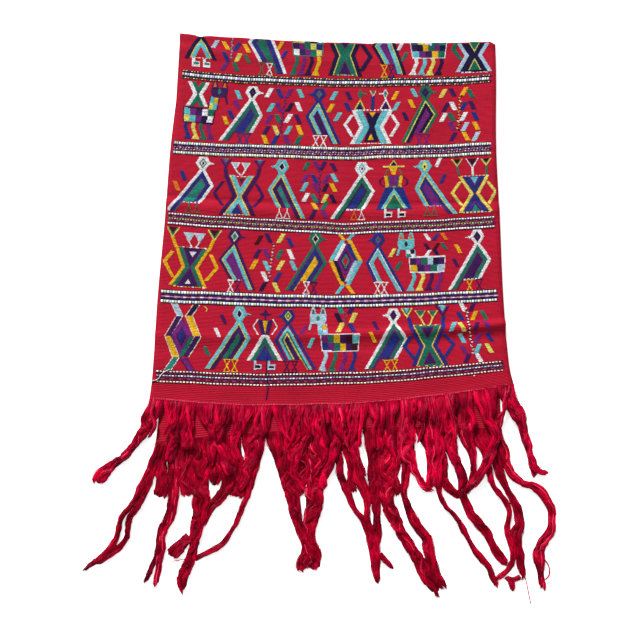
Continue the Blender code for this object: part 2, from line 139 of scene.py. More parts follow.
# Yarn colours as sRGB, seen in a plain light
YARN_COLOURS = {
    "ground": (180, 17, 46),
    "bright red": (232, 62, 92),
    "white": (250, 250, 252),
    "aqua": (110, 210, 220),
    "sky": (190, 222, 242),
    "cream": (250, 240, 208),
    "lemon": (240, 230, 110),
    "golden": (248, 192, 28),
    "mauve": (150, 72, 125),
    "wine": (125, 18, 48),
    "orange": (240, 130, 30),
    "green": (10, 120, 98),
    "teal": (30, 145, 130),
    "pale green": (200, 216, 170),
    "navy": (18, 18, 72),
    "royal": (24, 52, 140),
    "purple": (62, 24, 96),
    "violet": (125, 38, 132),
    "lilac": (180, 160, 210),
    "pink": (225, 150, 190),
    "maroon": (70, 6, 26),
    "olive": (95, 110, 80),
    "black": (13, 11, 22),
}
YARNS = tuple(YARN_COLOURS)
FRINGE_COLOUR = (196, 0, 48)
# The same crimson, darker, for the lower fringe's yarns: painted shade
LOWER_FRINGE_SHADED_COLOUR = (170, 0, 36)
PALE_FIBRE_COLOUR = (240, 66, 104)
FRINGE_GLEAM = (1.0, 0.12, 0.3, 1.0)
FLOOR_COLOUR = (252, 252, 252)


def linear(colour):
    """An sRGB colour of 0 to 255 as the linear colour that a shader takes."""
    shares = [channel / 255 for channel in colour]
    return tuple(share / 12.92 if share <= 0.04045 else ((share + 0.055) / 1.055) ** 2.4
                 for share in shares) + (1.0,)


def mix(first, second, share):
    return first + (second - first) * share


def smooth_step(share):
    share = np.clip(share, 0.0, 1.0)
    return share * share * (3.0 - 2.0 * share)


def along_curve(distances, values, distance):
    """A smooth curve through the values at the given distances."""
    last = len(distances) - 1
    index = np.arange(last + 1)
    before, after = np.maximum(0, index - 1), np.minimum(last, index + 1)
    slopes = (values[after] - values[before]) / (distances[after] - distances[before])
    low = np.clip(np.searchsorted(distances, distance, side="left") - 1, 0, last - 1)
    span = distances[low + 1] - distances[low]
    t = (distance - distances[low]) / span
    return ((2 * t**3 - 3 * t**2 + 1) * values[low] + (t**3 - 2 * t**2 + t) * slopes[low] * span
            + (3 * t**2 - 2 * t**3) * values[low + 1] + (t**3 - t**2) * slopes[low + 1] * span)


def across(left, middle, right, side):
    """A bowed line through its two ends and its middle; side goes from -1 to 1."""
    return (left * side * (side - 1) / 2 + middle * (1 - side * side)
            + right * side * (side + 1) / 2)


def fold_unevenness(side, along):
    """How far the folded edge is drawn in, fading away from the fold."""
    drawn_in = CORNER_ROUNDING * smooth_step((side - CORNER_FROM) / (1 - CORNER_FROM)) ** 2
    for hollow in FOLD_HOLLOWS:
        distance = (side - hollow.side) * FLAT_WIDTH / 2 / (hollow.half_width * MM)
        drawn_in = drawn_in + hollow.depth * MM * np.exp(-distance * distance)
    return drawn_in * (1 - smooth_step(along / HOLLOW_FADE))


def on_surface(lines, side, along):
    """The place on the floor of a point of a layer, seen from above."""
    distances = np.array([line.along for line in lines]) * MM

    def read(column):
        values = np.array([getattr(line, column) for line in lines]) * MM
        return along_curve(distances, values, along)

    x = mix(read("left_x"), read("right_x"), (side + 1) / 2)
    y = across(read("left_y"), read("middle_y"), read("right_y"), side) - fold_unevenness(side, along)
    return x - CENTRE_X, y - CENTRE_Y


def relief(side, along):
    """How far the upper layer stands above its lowest level."""
    from_ends = np.minimum(along, UPPER_LENGTH - along)
    height = SWELL * smooth_step(from_ends / SWELL_MARGIN)
    for crease in CREASES:
        share = (side + 1) / 2
        middle = mix(crease.left_along, crease.right_along, share) * MM
        rise = mix(crease.left_height, crease.right_height, share) * MM
        distance = (along - middle) / (crease.half_width * MM)
        height = height + rise * np.exp(-distance * distance)
    return np.maximum(0.0, height) * smooth_step((UPPER_LENGTH - along) / SWELL_MARGIN)


def upper_point(side, along, lift=0.0):
    """A point of the upper layer's middle surface; along below 0 goes round the fold."""
    low = CLOTH_THICK / 2
    loop_bottom = low + FOLD_LIFT
    loop_top = loop_bottom + 2 * FOLD_RADIUS
    flat = np.maximum(along, 0.0)
    turn = np.maximum(-along, 0.0) / FOLD_RADIUS
    x, y = on_surface(UPPER_LINES, side, flat)
    eased = smooth_step(flat / FOLD_EASE)
    z = mix(loop_top, UPPER_LEVEL + low + relief(side, flat) + lift, eased)
    y = y - FOLD_RADIUS * (1 - eased) + FOLD_RADIUS * np.sin(turn)
    z = z - FOLD_RADIUS * (1 - np.cos(turn))
    return np.stack(np.broadcast_arrays(x, y, z), axis=-1)


def lower_point(side, along, lift=0.0):
    """A point of the lower layer's middle surface."""
    low = CLOTH_THICK / 2
    x, y = on_surface(LOWER_LINES, side, along)
    eased = smooth_step(along / FOLD_EASE)
    z = mix(low + FOLD_LIFT, low + lift, eased)
    return np.stack(np.broadcast_arrays(x, y - FOLD_RADIUS * (1 - eased), z), axis=-1)


def surface_up(side, along):
    """The direction that points out of the upper layer, also round the fold."""
    turn = SLOPE_STEP / (FLAT_WIDTH / 2)
    over = upper_point(side + turn, along) - upper_point(side - turn, along)
    down = upper_point(side, along + SLOPE_STEP) - upper_point(side, along - SLOPE_STEP)
    up = np.cross(down, over)
    return up / np.linalg.norm(up, axis=-1, keepdims=True)


def new_piece(name, points, faces, materials, face_materials=None):
    """One mesh object from arrays of points and faces."""
    mesh = bpy.data.meshes.new(name)
    mesh.from_pydata(points.tolist(), [], faces.tolist())
    for material in materials:
        mesh.materials.append(material)
    if face_materials is not None:
        mesh.polygons.foreach_set("material_index", face_materials.astype(np.int32))
    mesh.polygons.foreach_set("use_smooth", np.full(len(mesh.polygons), True))
    mesh.update()
    piece = bpy.data.objects.new(name, mesh)
    bpy.context.scene.collection.objects.link(piece)
    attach(piece, "root")
    return piece


def corner_points(piece):
    """The point at each corner of each face."""
    corners = np.empty(len(piece.data.loops), np.int32)
    piece.data.loops.foreach_get("vertex_index", corners)
    return corners


def add_corner_map(piece, name, values):
    piece.data.uv_layers.new(name=name).data.foreach_set("uv", values.astype(np.float32).ravel())


def add_map(piece, name, values):
    """A UV map from one pair of values for each point."""
    add_corner_map(piece, name, values[corner_points(piece)])


def add_plan_map(piece, points):
    """The map that the finish is kept on: the piece seen from above, inside one square."""
    plan = points[:, :2]
    low, high = plan.min(axis=0), plan.max(axis=0)
    add_map(piece, "OFBake", MAP_MARGIN + MAP_SPAN * (plan - low) / (high - low))


def grid_faces(rows, columns):
    """Four-sided faces between rows of points, each row with the same number of points."""
    corner = (np.arange(rows - 1)[:, None] * columns + np.arange(columns - 1)[None, :]).ravel()
    return np.stack([corner, corner + 1, corner + columns + 1, corner + columns], axis=1)


REST = 999
# One chart for each row of figures. A chart step is one pixel of the photo, about 1.8 mm,
# and the figures' places were read there. The first and last columns are at the
# side edges, and the lines are counted down from the band above, with their number as far
# as the band below at the left edge, the middle and the right
FigureRow = namedtuple("FigureRow", "top_along bottom_along first last left_lines middle_lines right_lines")
FIGURE_ROWS = (
    FigureRow(0, 86, 179.7, 495.7, 41.1, 40.4, 37.2),
    FigureRow(86, 229, 174.9, 496.0, 73.2, 70.1, 70.2),
    FigureRow(229, 372, 167.7, 497.8, 70.2, 73.9, 72.9),
    FigureRow(372, 509, 161.4, 501.4, 78.3, 74.1, 73.8),
    FigureRow(509, 647, 155.1, 505.6, 79.9, 78.1, 69.4),
)

# Sizes in chart steps that all figures share
DASH = 2.6
DASH_GAP = 1.0
DASH_HALF_HEIGHT = 0.55
STEM_HALF = 0.8
STEM_TURN = 7.0
STEM_STITCH = 1.7
FOOT_HALF = 3.7
CROSS_FOOT_HEIGHT = 12.4
PINE_FOOT_HEIGHT = 9.6
FOOT_LINE = 0.8
BAR_EDGE = 1.1


class Chart:
    """A weave grid that figures are painted on, in chart columns and lines."""

    def __init__(self, columns, lines):
        self.x, self.y = columns, lines
        self.yarn = np.zeros(columns.shape, int)

    def put(self, where, yarn):
        self.yarn[where] = YARNS.index(yarn)

    def put_in_turn(self, where, turn, yarns):
        """Yarns that take turns, by a number for each place of the chart."""
        for index, yarn in enumerate(yarns):
            self.put(where & (turn % len(yarns) == index), yarn)


def by_line(points, y):
    """Where a line through points (column, line) is at each line of the weave."""
    return np.interp(y, [point[1] for point in points], [point[0] for point in points])


def paint(chart, left, right, layers, one_side=0):
    """Fills between two sides with layers of (width, yarn), from both sides inwards.

    A yarn alone fills the rest. With one_side 1 or -1 they go from the left or right side only."""
    from_left, from_right = chart.x - by_line(left, chart.y), by_line(right, chart.y) - chart.x
    both = np.minimum(from_left, from_right)
    depth = (both, from_left, from_right)[one_side]
    inside = (chart.y >= left[0][1]) & (chart.y <= left[-1][1]) & (both >= 0)
    begin = 0.0
    for layer in (layers,) if isinstance(layers, str) else layers:
        width, yarn = (REST, layer) if isinstance(layer, str) else layer
        chart.put(inside & (depth >= begin) & (depth < begin + width), yarn)
        begin += width


def shape(chart, places, layers):
    """A shape from its places downwards, each with its middle, its line and half its width."""
    paint(chart, [(x - half, y) for x, y, half in places], [(x + half, y) for x, y, half in places], layers)


def stroke(chart, points, width, layers):
    """A bent bar of even width along the weft."""
    shape(chart, [(x, y, width / 2) for x, y in points], layers)


def block(chart, left, right, top, bottom, yarn):
    """A level block of one yarn."""
    paint(chart, ((left, top), (left, bottom)), ((right, top), (right, bottom)), yarn)


def bars(chart, listed, width=4.0, height=8.6, lean=4.4):
    """Slanting bars, each with its centre, its slant and its yarn."""
    for x, y, slant, yarn in listed:
        shift = lean / 2 if slant == "\\" else -lean / 2
        stroke(chart, ((x - shift, y - height / 2), (x + shift, y + height / 2)), width, yarn)


def triangle(chart, x, base, tip, half, layers):
    """A triangle on a level base, with its tip above or below."""
    shape(chart, sorted(((x, base, half), (x, tip, 0)), key=lambda place: place[1]), layers)


def diamond(chart, x, y, half, rise, layers):
    shape(chart, ((x, y - rise, 0), (x, y, half), (x, y + rise, 0)), layers)


def hourglass(chart, x, top, waist, bottom, halves, layers, lean=0.0):
    """Two nested triangles, tip to tip; lean shifts the top right of the bottom."""
    places = zip((x + lean / 2, x, x - lean / 2), (top, waist, bottom), halves)
    shape(chart, tuple(places), layers)


def dashes(chart, x_from, x_to, line, yarns):
    """A dashed level line, one weft high."""
    run = chart.x - x_from
    on_line = (np.abs(chart.y - line) < DASH_HALF_HEIGHT) & (run >= 0) & (chart.x <= x_to)
    on_dash = np.mod(run, DASH + DASH_GAP) < DASH
    chart.put_in_turn(on_line & on_dash, np.floor(run / (DASH + DASH_GAP)).astype(int), yarns)


def twisted_stem(chart, points, yarns, swing=0.7):
    """A stem of yarns that take turns, winding a little from side to side."""
    x, y = chart.x, chart.y
    middle = by_line(points, y) + swing * np.sin(2 * np.pi * y / STEM_TURN)
    on_stem = (np.abs(x - middle) < STEM_HALF) & (y >= points[0][1]) & (y <= points[-1][1])
    chart.put_in_turn(on_stem, np.floor(y / STEM_STITCH).astype(int), yarns)


def cross_foot(chart, x, top, yarn):
    """One crossed foot with a level bar at its top and bottom."""
    toe, low = FOOT_HALF - 0.6, top + CROSS_FOOT_HEIGHT
    for side in (-1, 1):
        stroke(chart, ((x + side * toe, top), (x - side * toe, low)), 1.35, yarn)
    for level in (top, low - FOOT_LINE):
        block(chart, x - FOOT_HALF, x + FOOT_HALF, level, level + 1.0, yarn)


def pine_foot(chart, x, top, yarn):
    """One foot as a stem that parts into two legs on a level bar."""
    low = top + PINE_FOOT_HEIGHT
    stroke(chart, ((x, top), (x, top + 0.4 * PINE_FOOT_HEIGHT)), 1.43, yarn)
    for side in (-1, 1):
        stroke(chart, ((x, top + 0.3 * PINE_FOOT_HEIGHT), (x + side * (FOOT_HALF - 0.5), low)), 1.1, yarn)
    block(chart, x - FOOT_HALF, x + FOOT_HALF, low - FOOT_LINE, low, yarn)


def sided(x, turned, near, far):
    """Left and right sides from offsets, swapped for a figure that is turned round."""
    first, second = ([(x + turned * dx, y) for dx, y in side] for side in (near, far))
    return (first, second) if turned > 0 else (second, first)


def bird(chart, x, top, layers, eye, feet, beak, shoulder=12.0, corner=-1.0, tail=-34.0, foot=cross_foot,
         hem=None, tall=1.0, spread=9.6, stride=7.6, inset=2.6):
    """A bird seen from the side, with its tail left of its head, or right where tail is above 0.

    Its sizes are offsets from the middle of the head. beak is +1 to the right."""
    turned = -1 if tail > 0 else 1
    shoulder, corner, tail = turned * shoulder, turned * corner, turned * tail
    head, neck = top + 6.6 * tall, top + 13.4 * tall
    wing, belly, end = top + 29 * tall, top + 46.8 * tall, top + 56.0 * tall
    outer = layers[0][1]
    slope = (tail + 2.4) / (end - neck)
    at_belly = -2.4 + slope * (belly - neck)
    back = ((-2.4, neck - 0.8), (at_belly, belly))
    front = ((2.4, neck - 0.8), (shoulder, wing), (corner, belly))
    paint(chart, *sided(x, turned, back, front), layers)
    tail_back = ((at_belly, belly), (tail, end))
    tail_front = ((at_belly + spread, belly), (tail + spread, end))
    paint(chart, *sided(x, turned, tail_back, tail_front), layers, turned)
    if hem:
        left, right = sorted((x + turned * (corner - 1.0), x + turned * (at_belly + spread)))
        dashes(chart, left, right, belly + 0.5, (hem,))
    places = sorted((x + turned * (corner - inset), x + turned * (corner - inset - stride)))
    for place, yarn in zip(places, feet):
        foot(chart, place, belly + 0.6, yarn)
    shape(chart, ((x, top, 4.0), (x, head, 7.4), (x, neck, 2.6)), outer)
    for half, yarn in zip((3.7, 2.5, 1.2), eye):
        diamond(chart, x, head, half, 1.5 * half, yarn)
    cheek = ((6.4, head - 1.6), (6.4, head + 1.6))
    bill = ((6.4, head - 1.6), (12.2, head + 0.2), (6.4, head + 1.6))
    paint(chart, *sided(x, beak, cheek, bill), outer)


def checked(chart, left, right, rows, top, height):
    """Rows of coloured squares between two side lines."""
    low, high = by_line(left, chart.y), by_line(right, chart.y)
    share = (chart.x - low) / (high - low)
    for number, yarns in enumerate(rows):
        upper = top + number * height
        inside = (chart.y >= upper) & (chart.y < upper + height) & (share >= 0) & (share < 1)
        chart.put_in_turn(inside, np.floor(share * len(yarns)).astype(int), yarns)


def leg(chart, x, top, bottom, turned, yarn):
    """A leg that bends at the knee and ends in a wide foot."""
    knee, ankle = top + 0.28 * (bottom - top), top + 0.74 * (bottom - top)
    shape(chart, ((x, top, 1.9), (x + 0.6 * turned, knee, 2.0), (x - 3.0 * turned, ankle, 1.9),
                  (x - 3.6 * turned, bottom, 4.2)), yarn)


def horse_body(chart, left, right, top, middle, rows, outline, legs, feet, turned, slope):
    """A checked body on four legs. Its ends draw in by slope from top to belly."""
    near = ((left, top), (left + slope, middle))
    far = ((right, top), (right - slope, middle))
    paint(chart, ((left - BAR_EDGE, top - 1.0), (left + slope - BAR_EDGE, middle + 1.0)),
          ((right + BAR_EDGE, top - 1.0), (right - slope + BAR_EDGE, middle + 1.0)), outline)
    checked(chart, near, far, rows, top, (middle - top) / len(rows))
    span = (right - left - 2 * slope - 5.5) / (len(legs) - 1)
    for index, yarn in enumerate(legs):
        leg(chart, left + slope + 2.6 + index * span, middle + 1.0, feet, turned, yarn)


def horse_head(chart, x, top, face, head, ear, eye, neck_rows, neck_bottom):
    """A head with two ears over a checked neck; face is +1 to the right."""
    base = top + 4.4
    for middle in (x - 4.9, x + 4.9):
        shape(chart, ((middle, top - 3.0, 1.5), (middle, base + 1.0, 3.4)), head)
        shape(chart, ((middle, top - 0.4, 0.7), (middle, base + 1.0, 1.9)), ear)
    shape(chart, ((x, base, 8.2), (x, base + 6.5, 8.6), (x, base + 10.0, 5.6)), head)
    shape(chart, ((x, base + 1.0, 0), (x, base + 4.4, 2.0), (x, base + 7.6, 0)), eye)
    nose = x + face * 6.8
    stroke(chart, ((nose, base + 8.2), (nose + face * 2.0, base + 16.4)), 2.4, head)
    neck = x - face * 4.0
    shape(chart, ((neck, base + 9.6, 5.0), (neck - face, neck_bottom, 5.0)), head)
    sides = [((neck + half, base + 10.2), (neck + half - face, neck_bottom)) for half in (-4.0, 4.0)]
    begin = base + 10.4
    checked(chart, *sides, neck_rows, begin, (neck_bottom - begin) / len(neck_rows))


def flower(chart, x, top, tip, half, layers, stem, foot, foot_line, width=1.4):
    """A triangle on its tip, on a stem that leans to its foot."""
    stroke(chart, ((x, tip - 1.5), (foot, foot_line)), width, stem)
    triangle(chart, x, top, tip, half, layers)


def boot(chart, x, top, yarn, inner):
    """A boot seen from the side, with its toe to the right."""
    stroke(chart, ((x - 1.6, top), (x - 1.6, top + 9)), 2.4, yarn)
    for left, right, toe, high, low, colour in ((-2.8, 5.2, 4.6, 3.4, 8.4, yarn),
                                                (-1.4, 3.8, 3.4, 4.8, 6.9, inner)):
        paint(chart, ((x + left, top + high), (x + left, top + low)),
              ((x + right, top + high), (x + toe, top + low)), colour)


def doll_1(chart, x, hem):
    """A skirt with two boots, of a figure whose upper half is beyond the fold."""
    triangle(chart, x, hem + 1.4, -6, 16.6, ((4.2, "navy"), "ground"))
    triangle(chart, x + 0.3, hem, 1.2, 11.2, ((1.3, "lemon"), (4.2, "aqua"), "ground"))
    dashes(chart, x - 10, x + 10, hem + 0.2, ("white", "lemon"))
    for left in (x - 8.6, x + 2):
        block(chart, left, left + 3.4, hem + 0.4, hem + 9, "white")
        block(chart, left, left + 7.8, hem + 3.4, hem + 8.8, "white")
        block(chart, left + 1.8, left + 6.6, hem + 4.6, hem + 6.6, "teal")


def doll_3(chart, x, top):
    """A figure with a brimmed hat, braids and a wide skirt."""
    triangle(chart, x, top + 6.4, top - 0.2, 4.8, ((1.2, "lemon"), "navy"))
    block(chart, x - 11, x + 11, top + 6.2, top + 7.4, "lemon")
    shape(chart, ((x, top + 6.8, 4.8), (x, top + 15, 1.6)), "golden")
    for side in (-1, 1):
        stroke(chart, ((x + side * 5.6, top + 9), (x + side * 8, top + 15.4)), 2, "olive")
        stroke(chart, ((x + side * 9, top + 16.6), (x + side * 13.6, top + 20),
                       (x + side * 13.4, top + 24), (x + side * 9.6, top + 27)), 2.2, "purple")
    shape(chart, ((x, top + 15.6, 9.6), (x, top + 26.6, 7.8)), ((3.4, "golden"), (1.2, "green"), "violet"))
    dashes(chart, x - 8, x + 8, top + 27, ("lemon", "olive"))
    shape(chart, ((x + 0.2, top + 27.8, 9.2), (x + 0.2, top + 50, 18.4)), "royal")
    triangle(chart, x + 0.2, top + 48.6, top + 28.2, 13.4, ((2.8, "aqua"), (1.4, "lemon"), "green"))
    for side in (-1, 1):
        boot(chart, x + side * 6.6 - 0.4, top + 49.2, "white", "black")


def doll_5(chart, x, top):
    """A figure with a flat hat, ringed arms and a wide skirt."""
    triangle(chart, x, top + 5, top, 3.4, "purple")
    shape(chart, ((x, top + 5, 6.6), (x, top + 7.2, 4)), "purple")
    stroke(chart, ((x, top + 7), (x, top + 11.8)), 2.2, "purple")
    shape(chart, ((x, top + 11.6, 7.8), (x, top + 27, 4)), "purple")
    triangle(chart, x, top + 12, top + 25.4, 2.9, "golden")
    for side in (-1, 1):
        arm = ((x + side * 7.6, top + 10.8), (x + side * 12, top + 18.2), (x + side * 7, top + 26.8))
        stroke(chart, arm, 1.5, "white")
    skirt = ((4.2, "white"), (4.2, "green"), (1, "violet"), "royal")
    shape(chart, ((x, top + 27, 3.2), (x, top + 52, 17.9)), skirt)
    for side in (-1, 1):
        boot(chart, x + side * 6.8 - 1, top + 52.4, "sky", "black")


def lozenge_4(chart, x, top):
    """A lozenge of paired bars around a small star."""
    middle, bottom = top + 21.2, top + 45.2
    for side, upper, lower, upper_inner, lower_inner in ((-1, "aqua", "golden", "white", "navy"),
                                                         (1, "golden", "aqua", "royal", "sky")):
        for from_x, from_y, to_x, to_y, width, yarn in (
                (3, top, 14.8, middle, 4.6, upper), (14.8, middle, 2.6, bottom, 4.6, lower),
                (1.6, top + 3.6, 10, middle, 4.2, upper_inner),
                (10, middle, 1.6, bottom - 3.6, 4.2, lower_inner),
                (7.4, top - 6.2, 2, top, 4, lower), (2, bottom, 8.4, bottom + 8.8, 4.4, upper)):
            stroke(chart, ((x + side * from_x, from_y), (x + side * to_x, to_y)), width, yarn)
    diamond(chart, x, middle, 8.6, 15.6, ((2.6, "violet"), (1.6, "purple"), (1.8, "teal"), "ground"))


def lozenge_5(chart):
    """A lozenge of edged bars around a diamond."""
    top, middle, bottom = 19.2, 39.6, 59.8
    for start, end, width, edge, fill in (
            ((172.6, 6.6), (179.4, 19.4), 7, "white", "sky"),
            ((195, 7.4), (187.6, 19), 7.6, "cream", "navy"),
            ((178.4, top), (168.2, middle), 7.4, "cream", "purple"),
            ((168.6, middle), (176.8, bottom), 7.8, "cream", "golden"),
            ((188.4, top - 0.4), (197.4, middle - 0.4), 8.2, "cream", "golden"),
            ((198, middle - 0.4), (186.4, bottom - 0.6), 7.8, "cream", "purple"),
            ((177.4, bottom + 0.4), (169.8, bottom + 13.4), 7.6, "white", "teal"),
            ((184.2, bottom + 0.2), (193.6, bottom + 14), 8, "purple", "violet")):
        stroke(chart, (start, end), width, ((BAR_EDGE, edge), fill))
    diamond(chart, 181.8, middle, 11, 19.6, "violet")
    for turn in (-1, 1):
        stroke(chart, ((182.4 + turn * 9.6, middle), (181.8, middle + turn * 19.6)), 4.4, "green")
    diamond(chart, 181.8, middle, 5, 9.6, ((1.2, "purple"), "royal"))


def row_1(chart):
    doll_1(chart, 201, 23.6)
    bars(chart, ((215.6, 8, "/", "sky"), (226.2, 8.8, "\\", "golden"), (237.3, 9.6, "/", "royal"),
        (247, 10.2, "\\", "golden"), (226, 20.2, "\\", "royal"), (238.4, 20.8, "/", "lemon"),
        (247.6, 21.2, "\\", "olive"), (225, 30, "/", "violet"), (236.3, 29.8, "\\", "green")), width=4.6)
    twisted_stem(chart, ((232.7, 0), (231.5, 24)), ("lilac", "olive"))
    bird(chart, 266.7, -30, ((3.6, "white"), (4.6, "royal"), (0.9, "violet"), "green"),
        ("navy", "violet", "violet"), ("olive", "white"), -1, shoulder=-18.5, corner=-7.6, tail=20.5,
        spread=11, tall=1.14, stride=7.8, inset=3)
    bars(chart, ((280.7, 4.8, "/", "golden"), (284.9, 14.4, "/", "royal")))
    horse_body(chart, 293, 323.5, -6, 14.5, (("golden", "lemon", "green", "navy", "teal"),
        ("purple", "violet", "green", "lemon", "royal"), ("white", "purple", "violet", "green", "lemon")),
        "teal", ("green", "violet", "navy", "golden"), 34.6, 1, slope=1.5)
    hourglass(chart, 345.2, 0.2, 13.5, 33.6, (15.3, 10.2, 17.2), ((4.6, "navy"), (1.2, "lemon"), "green"))
    triangle(chart, 345.4, -1, 6.5, 4.6, ((0.9, "violet"), "purple"))
    triangle(chart, 345, 32.2, 18.2, 6.4, ((0.9, "violet"), "purple"))
    dashes(chart, 337, 354, 33, ("white", "lemon"))
    stroke(chart, ((362.6, 0.6), (370.6, 14.4), (361, 29)), 4.8, "navy")
    bird(chart, 388.3, -29, ((3.4, "navy"), (1.2, "lemon"), (3.8, "aqua"), "violet"),
        ("navy", "violet", "violet"), ("golden", "purple"), -1, shoulder=-16.5, corner=-7, tail=17.8,
        spread=11, tall=1.08, stride=6.8, inset=3)
    bars(chart, ((400.7, 2.6, "/", "white"), (404.6, 14.2, "/", "green")))
    horse_body(chart, 410.4, 447.2, -5.5, 15.2, (("green", "lemon", "white", "green", "teal"),
        ("purple", "navy", "golden", "green", "violet", "navy"), ("aqua", "violet", "purple", "golden",
        "green")), "white", ("white", "aqua", "lemon", "navy"), 32.6, 1, slope=3)
    stroke(chart, ((456.6, -0.6), (453.4, 7.2), (461, 18)), 4.6, "green")
    hourglass(chart, 473.4, 0.2, 14, 30.2, (16.4, 8.8, 18.2), ((4.4, "sky"), "navy"))
    triangle(chart, 474.6, -1, 10.8, 5.9, ((1.2, "lemon"), "green"))
    triangle(chart, 474.4, 28.6, 16.6, 6.4, ((1.2, "lemon"), "green"))
    dashes(chart, 461, 487, 30.8, ("white",))


def row_2(chart):
    hourglass(chart, 196.2, 6.6, 18.6, 30.8, (11.2, 4.8, 11.4), ((4.2, "white"), (4.4, "green"), "ground"),
        lean=-0.4)
    horse_body(chart, 184, 214.6, 32.8, 46.2, (("aqua", "violet", "purple", "white", "green"),
        ("lemon", "aqua", "violet", "navy", "white")), "navy", ("royal", "lemon", "green", "violet"), 63,
        -1, slope=1.2)
    horse_head(chart, 217.4, 5.6, 1, "purple", "orange", "teal", (("aqua", "golden"), ("lemon", "aqua")),
        32.6)
    bars(chart, ((236.6, 16, "\\", "aqua"), (235.8, 25.6, "\\", "violet"), (231.2, 36.2, "\\", "royal"),
        (226.6, 42.4, "\\", "golden")), width=4.6)
    bird(chart, 250.8, 6.6, ((3.7, "white"), (4.2, "green"), (0.8, "violet"), "royal"),
        ("navy", "navy", "violet"), ("royal", "royal"), 1, shoulder=12.4, corner=3.6, tail=-29.4,
        stride=6.6, inset=5.4)
    bars(chart, ((267.2, 12.6, "/", "white"), (278, 12.4, "\\", "royal"), (287.2, 12.2, "/", "violet"),
        (299, 12.2, "\\", "aqua"), (270.5, 27.2, "/", "aqua"), (278.2, 26.6, "\\", "violet"),
        (289.2, 26.2, "/", "navy"), (298, 25.6, "\\", "white"), (269.5, 38.8, "/", "violet"),
        (278.8, 38.2, "\\", "green"), (288.5, 37.6, "/", "white"), (298.2, 37.6, "\\", "purple"),
        (267.8, 50, "/", "purple"), (277.6, 49.6, "\\", "lemon"), (289.4, 49.4, "/", "aqua"),
        (300.8, 48.8, "\\", "golden"), (267.3, 59.2, "\\", "golden"), (277.2, 59.2, "/", "royal"),
        (288.8, 59, "\\", "violet"), (300.2, 58.4, "/", "green")), width=4.8, height=9)
    twisted_stem(chart, ((284.7, 16.6), (281.5, 54.6)), ("violet", "purple"))
    bird(chart, 317.6, 5.8, ((3.6, "royal"), (1.2, "lemon"), (3.2, "aqua"), (1, "violet"), "purple"),
        ("violet", "teal", "violet"), ("white", "white"), -1, shoulder=-12.4, corner=-2.6, tail=25.4)
    bars(chart, ((332.6, 13.6, "/", "aqua"), (330.2, 25.8, "/", "golden"), (347.8, 13.8, "\\", "purple"),
        (347.2, 24.8, "\\", "royal"), (337.8, 34.4, "/", "aqua")), width=4.6)
    hourglass(chart, 372, 28.2, 44.8, 61.4, (20.7, 12, 20.6), ((4.2, "white"), (6.2, "aqua"), "ground"))
    hourglass(chart, 372.4, 30, 44.6, 59.4, (7.6, 2.6, 7.6), "navy")
    triangle(chart, 372.2, 30.2, 35.4, 3.5, "golden")
    triangle(chart, 371.8, 58, 51, 3.2, "golden")
    dashes(chart, 355, 392, 28, ("white",))
    dashes(chart, 354, 390, 61, ("white",))
    stroke(chart, ((352.3, 32.4), (345.4, 42.6), (354, 54.6)), 3.6, "white")
    stroke(chart, ((391.6, 32.8), (398.4, 42.4), (391.4, 54.6)), 3.6, "white")
    triangle(chart, 359.2, 27, 16.6, 5.6, ((1.5, "lemon"), (1.2, "green"), "navy"))
    paint(chart, ((358.4, 7), (356.4, 11), (358.4, 16.6)), ((359.2, 7), (361.4, 11), (359.6, 16.6)),
        "green")
    block(chart, 360.8, 366.2, 10.6, 12.2, "green")
    triangle(chart, 385, 27, 16, 5.8, ((1.5, "white"), "purple"))
    paint(chart, ((383.8, 6.8), (381.4, 11.2), (383.8, 17)), ((384.6, 6.8), (387, 11.2), (385, 17)),
        ((1.2, "white"), "teal"))
    block(chart, 377.6, 382.6, 10.4, 12, "white")
    flower(chart, 371.8, 8.2, 14.8, 3.6, ((1.2, "cream"), "olive"), "royal", 371.8, 28, 3.4)
    bars(chart, ((394.2, 13.6, "/", "golden"), (395.8, 24.4, "/", "aqua")), width=4.2)
    bars(chart, ((413, 10.8, "\\", "aqua"), (411.2, 22.4, "\\", "golden"), (405.2, 34.4, "\\", "purple")),
        width=4.4)
    bird(chart, 424.6, 4.6, ((3.2, "green"), (1.5, "lemon"), (3.6, "navy"), "violet"),
        ("navy", "purple", "royal"), ("violet", "violet"), 1, shoulder=13.6, corner=3.2, tail=-22.8,
        stride=7.2, inset=1)
    bars(chart, ((442.2, 12.6, "/", "lemon"), (451.8, 12, "\\", "purple"), (463.6, 11.6, "/", "golden"),
        (470.2, 14.4, "\\", "green"), (445.4, 26.6, "/", "purple"), (452.9, 26.2, "\\", "white"),
        (463.2, 26.8, "/", "royal"), (472.2, 26.4, "\\", "purple"), (443.2, 37.2, "/", "white"),
        (451.6, 37.2, "\\", "green"), (463.6, 36.8, "/", "white"), (475, 36.8, "\\", "royal"),
        (451.6, 45.6, "\\", "violet"), (465, 47, "/", "sky"), (476, 46.8, "\\", "golden"),
        (453.2, 56.8, "/", "purple"), (466.2, 56.8, "\\", "golden"), (476.2, 57, "/", "sky")), width=4.8)
    twisted_stem(chart, ((459.6, 15.6), (458.2, 50.6)), ("cream", "black", "golden", "maroon"), swing=1.4)


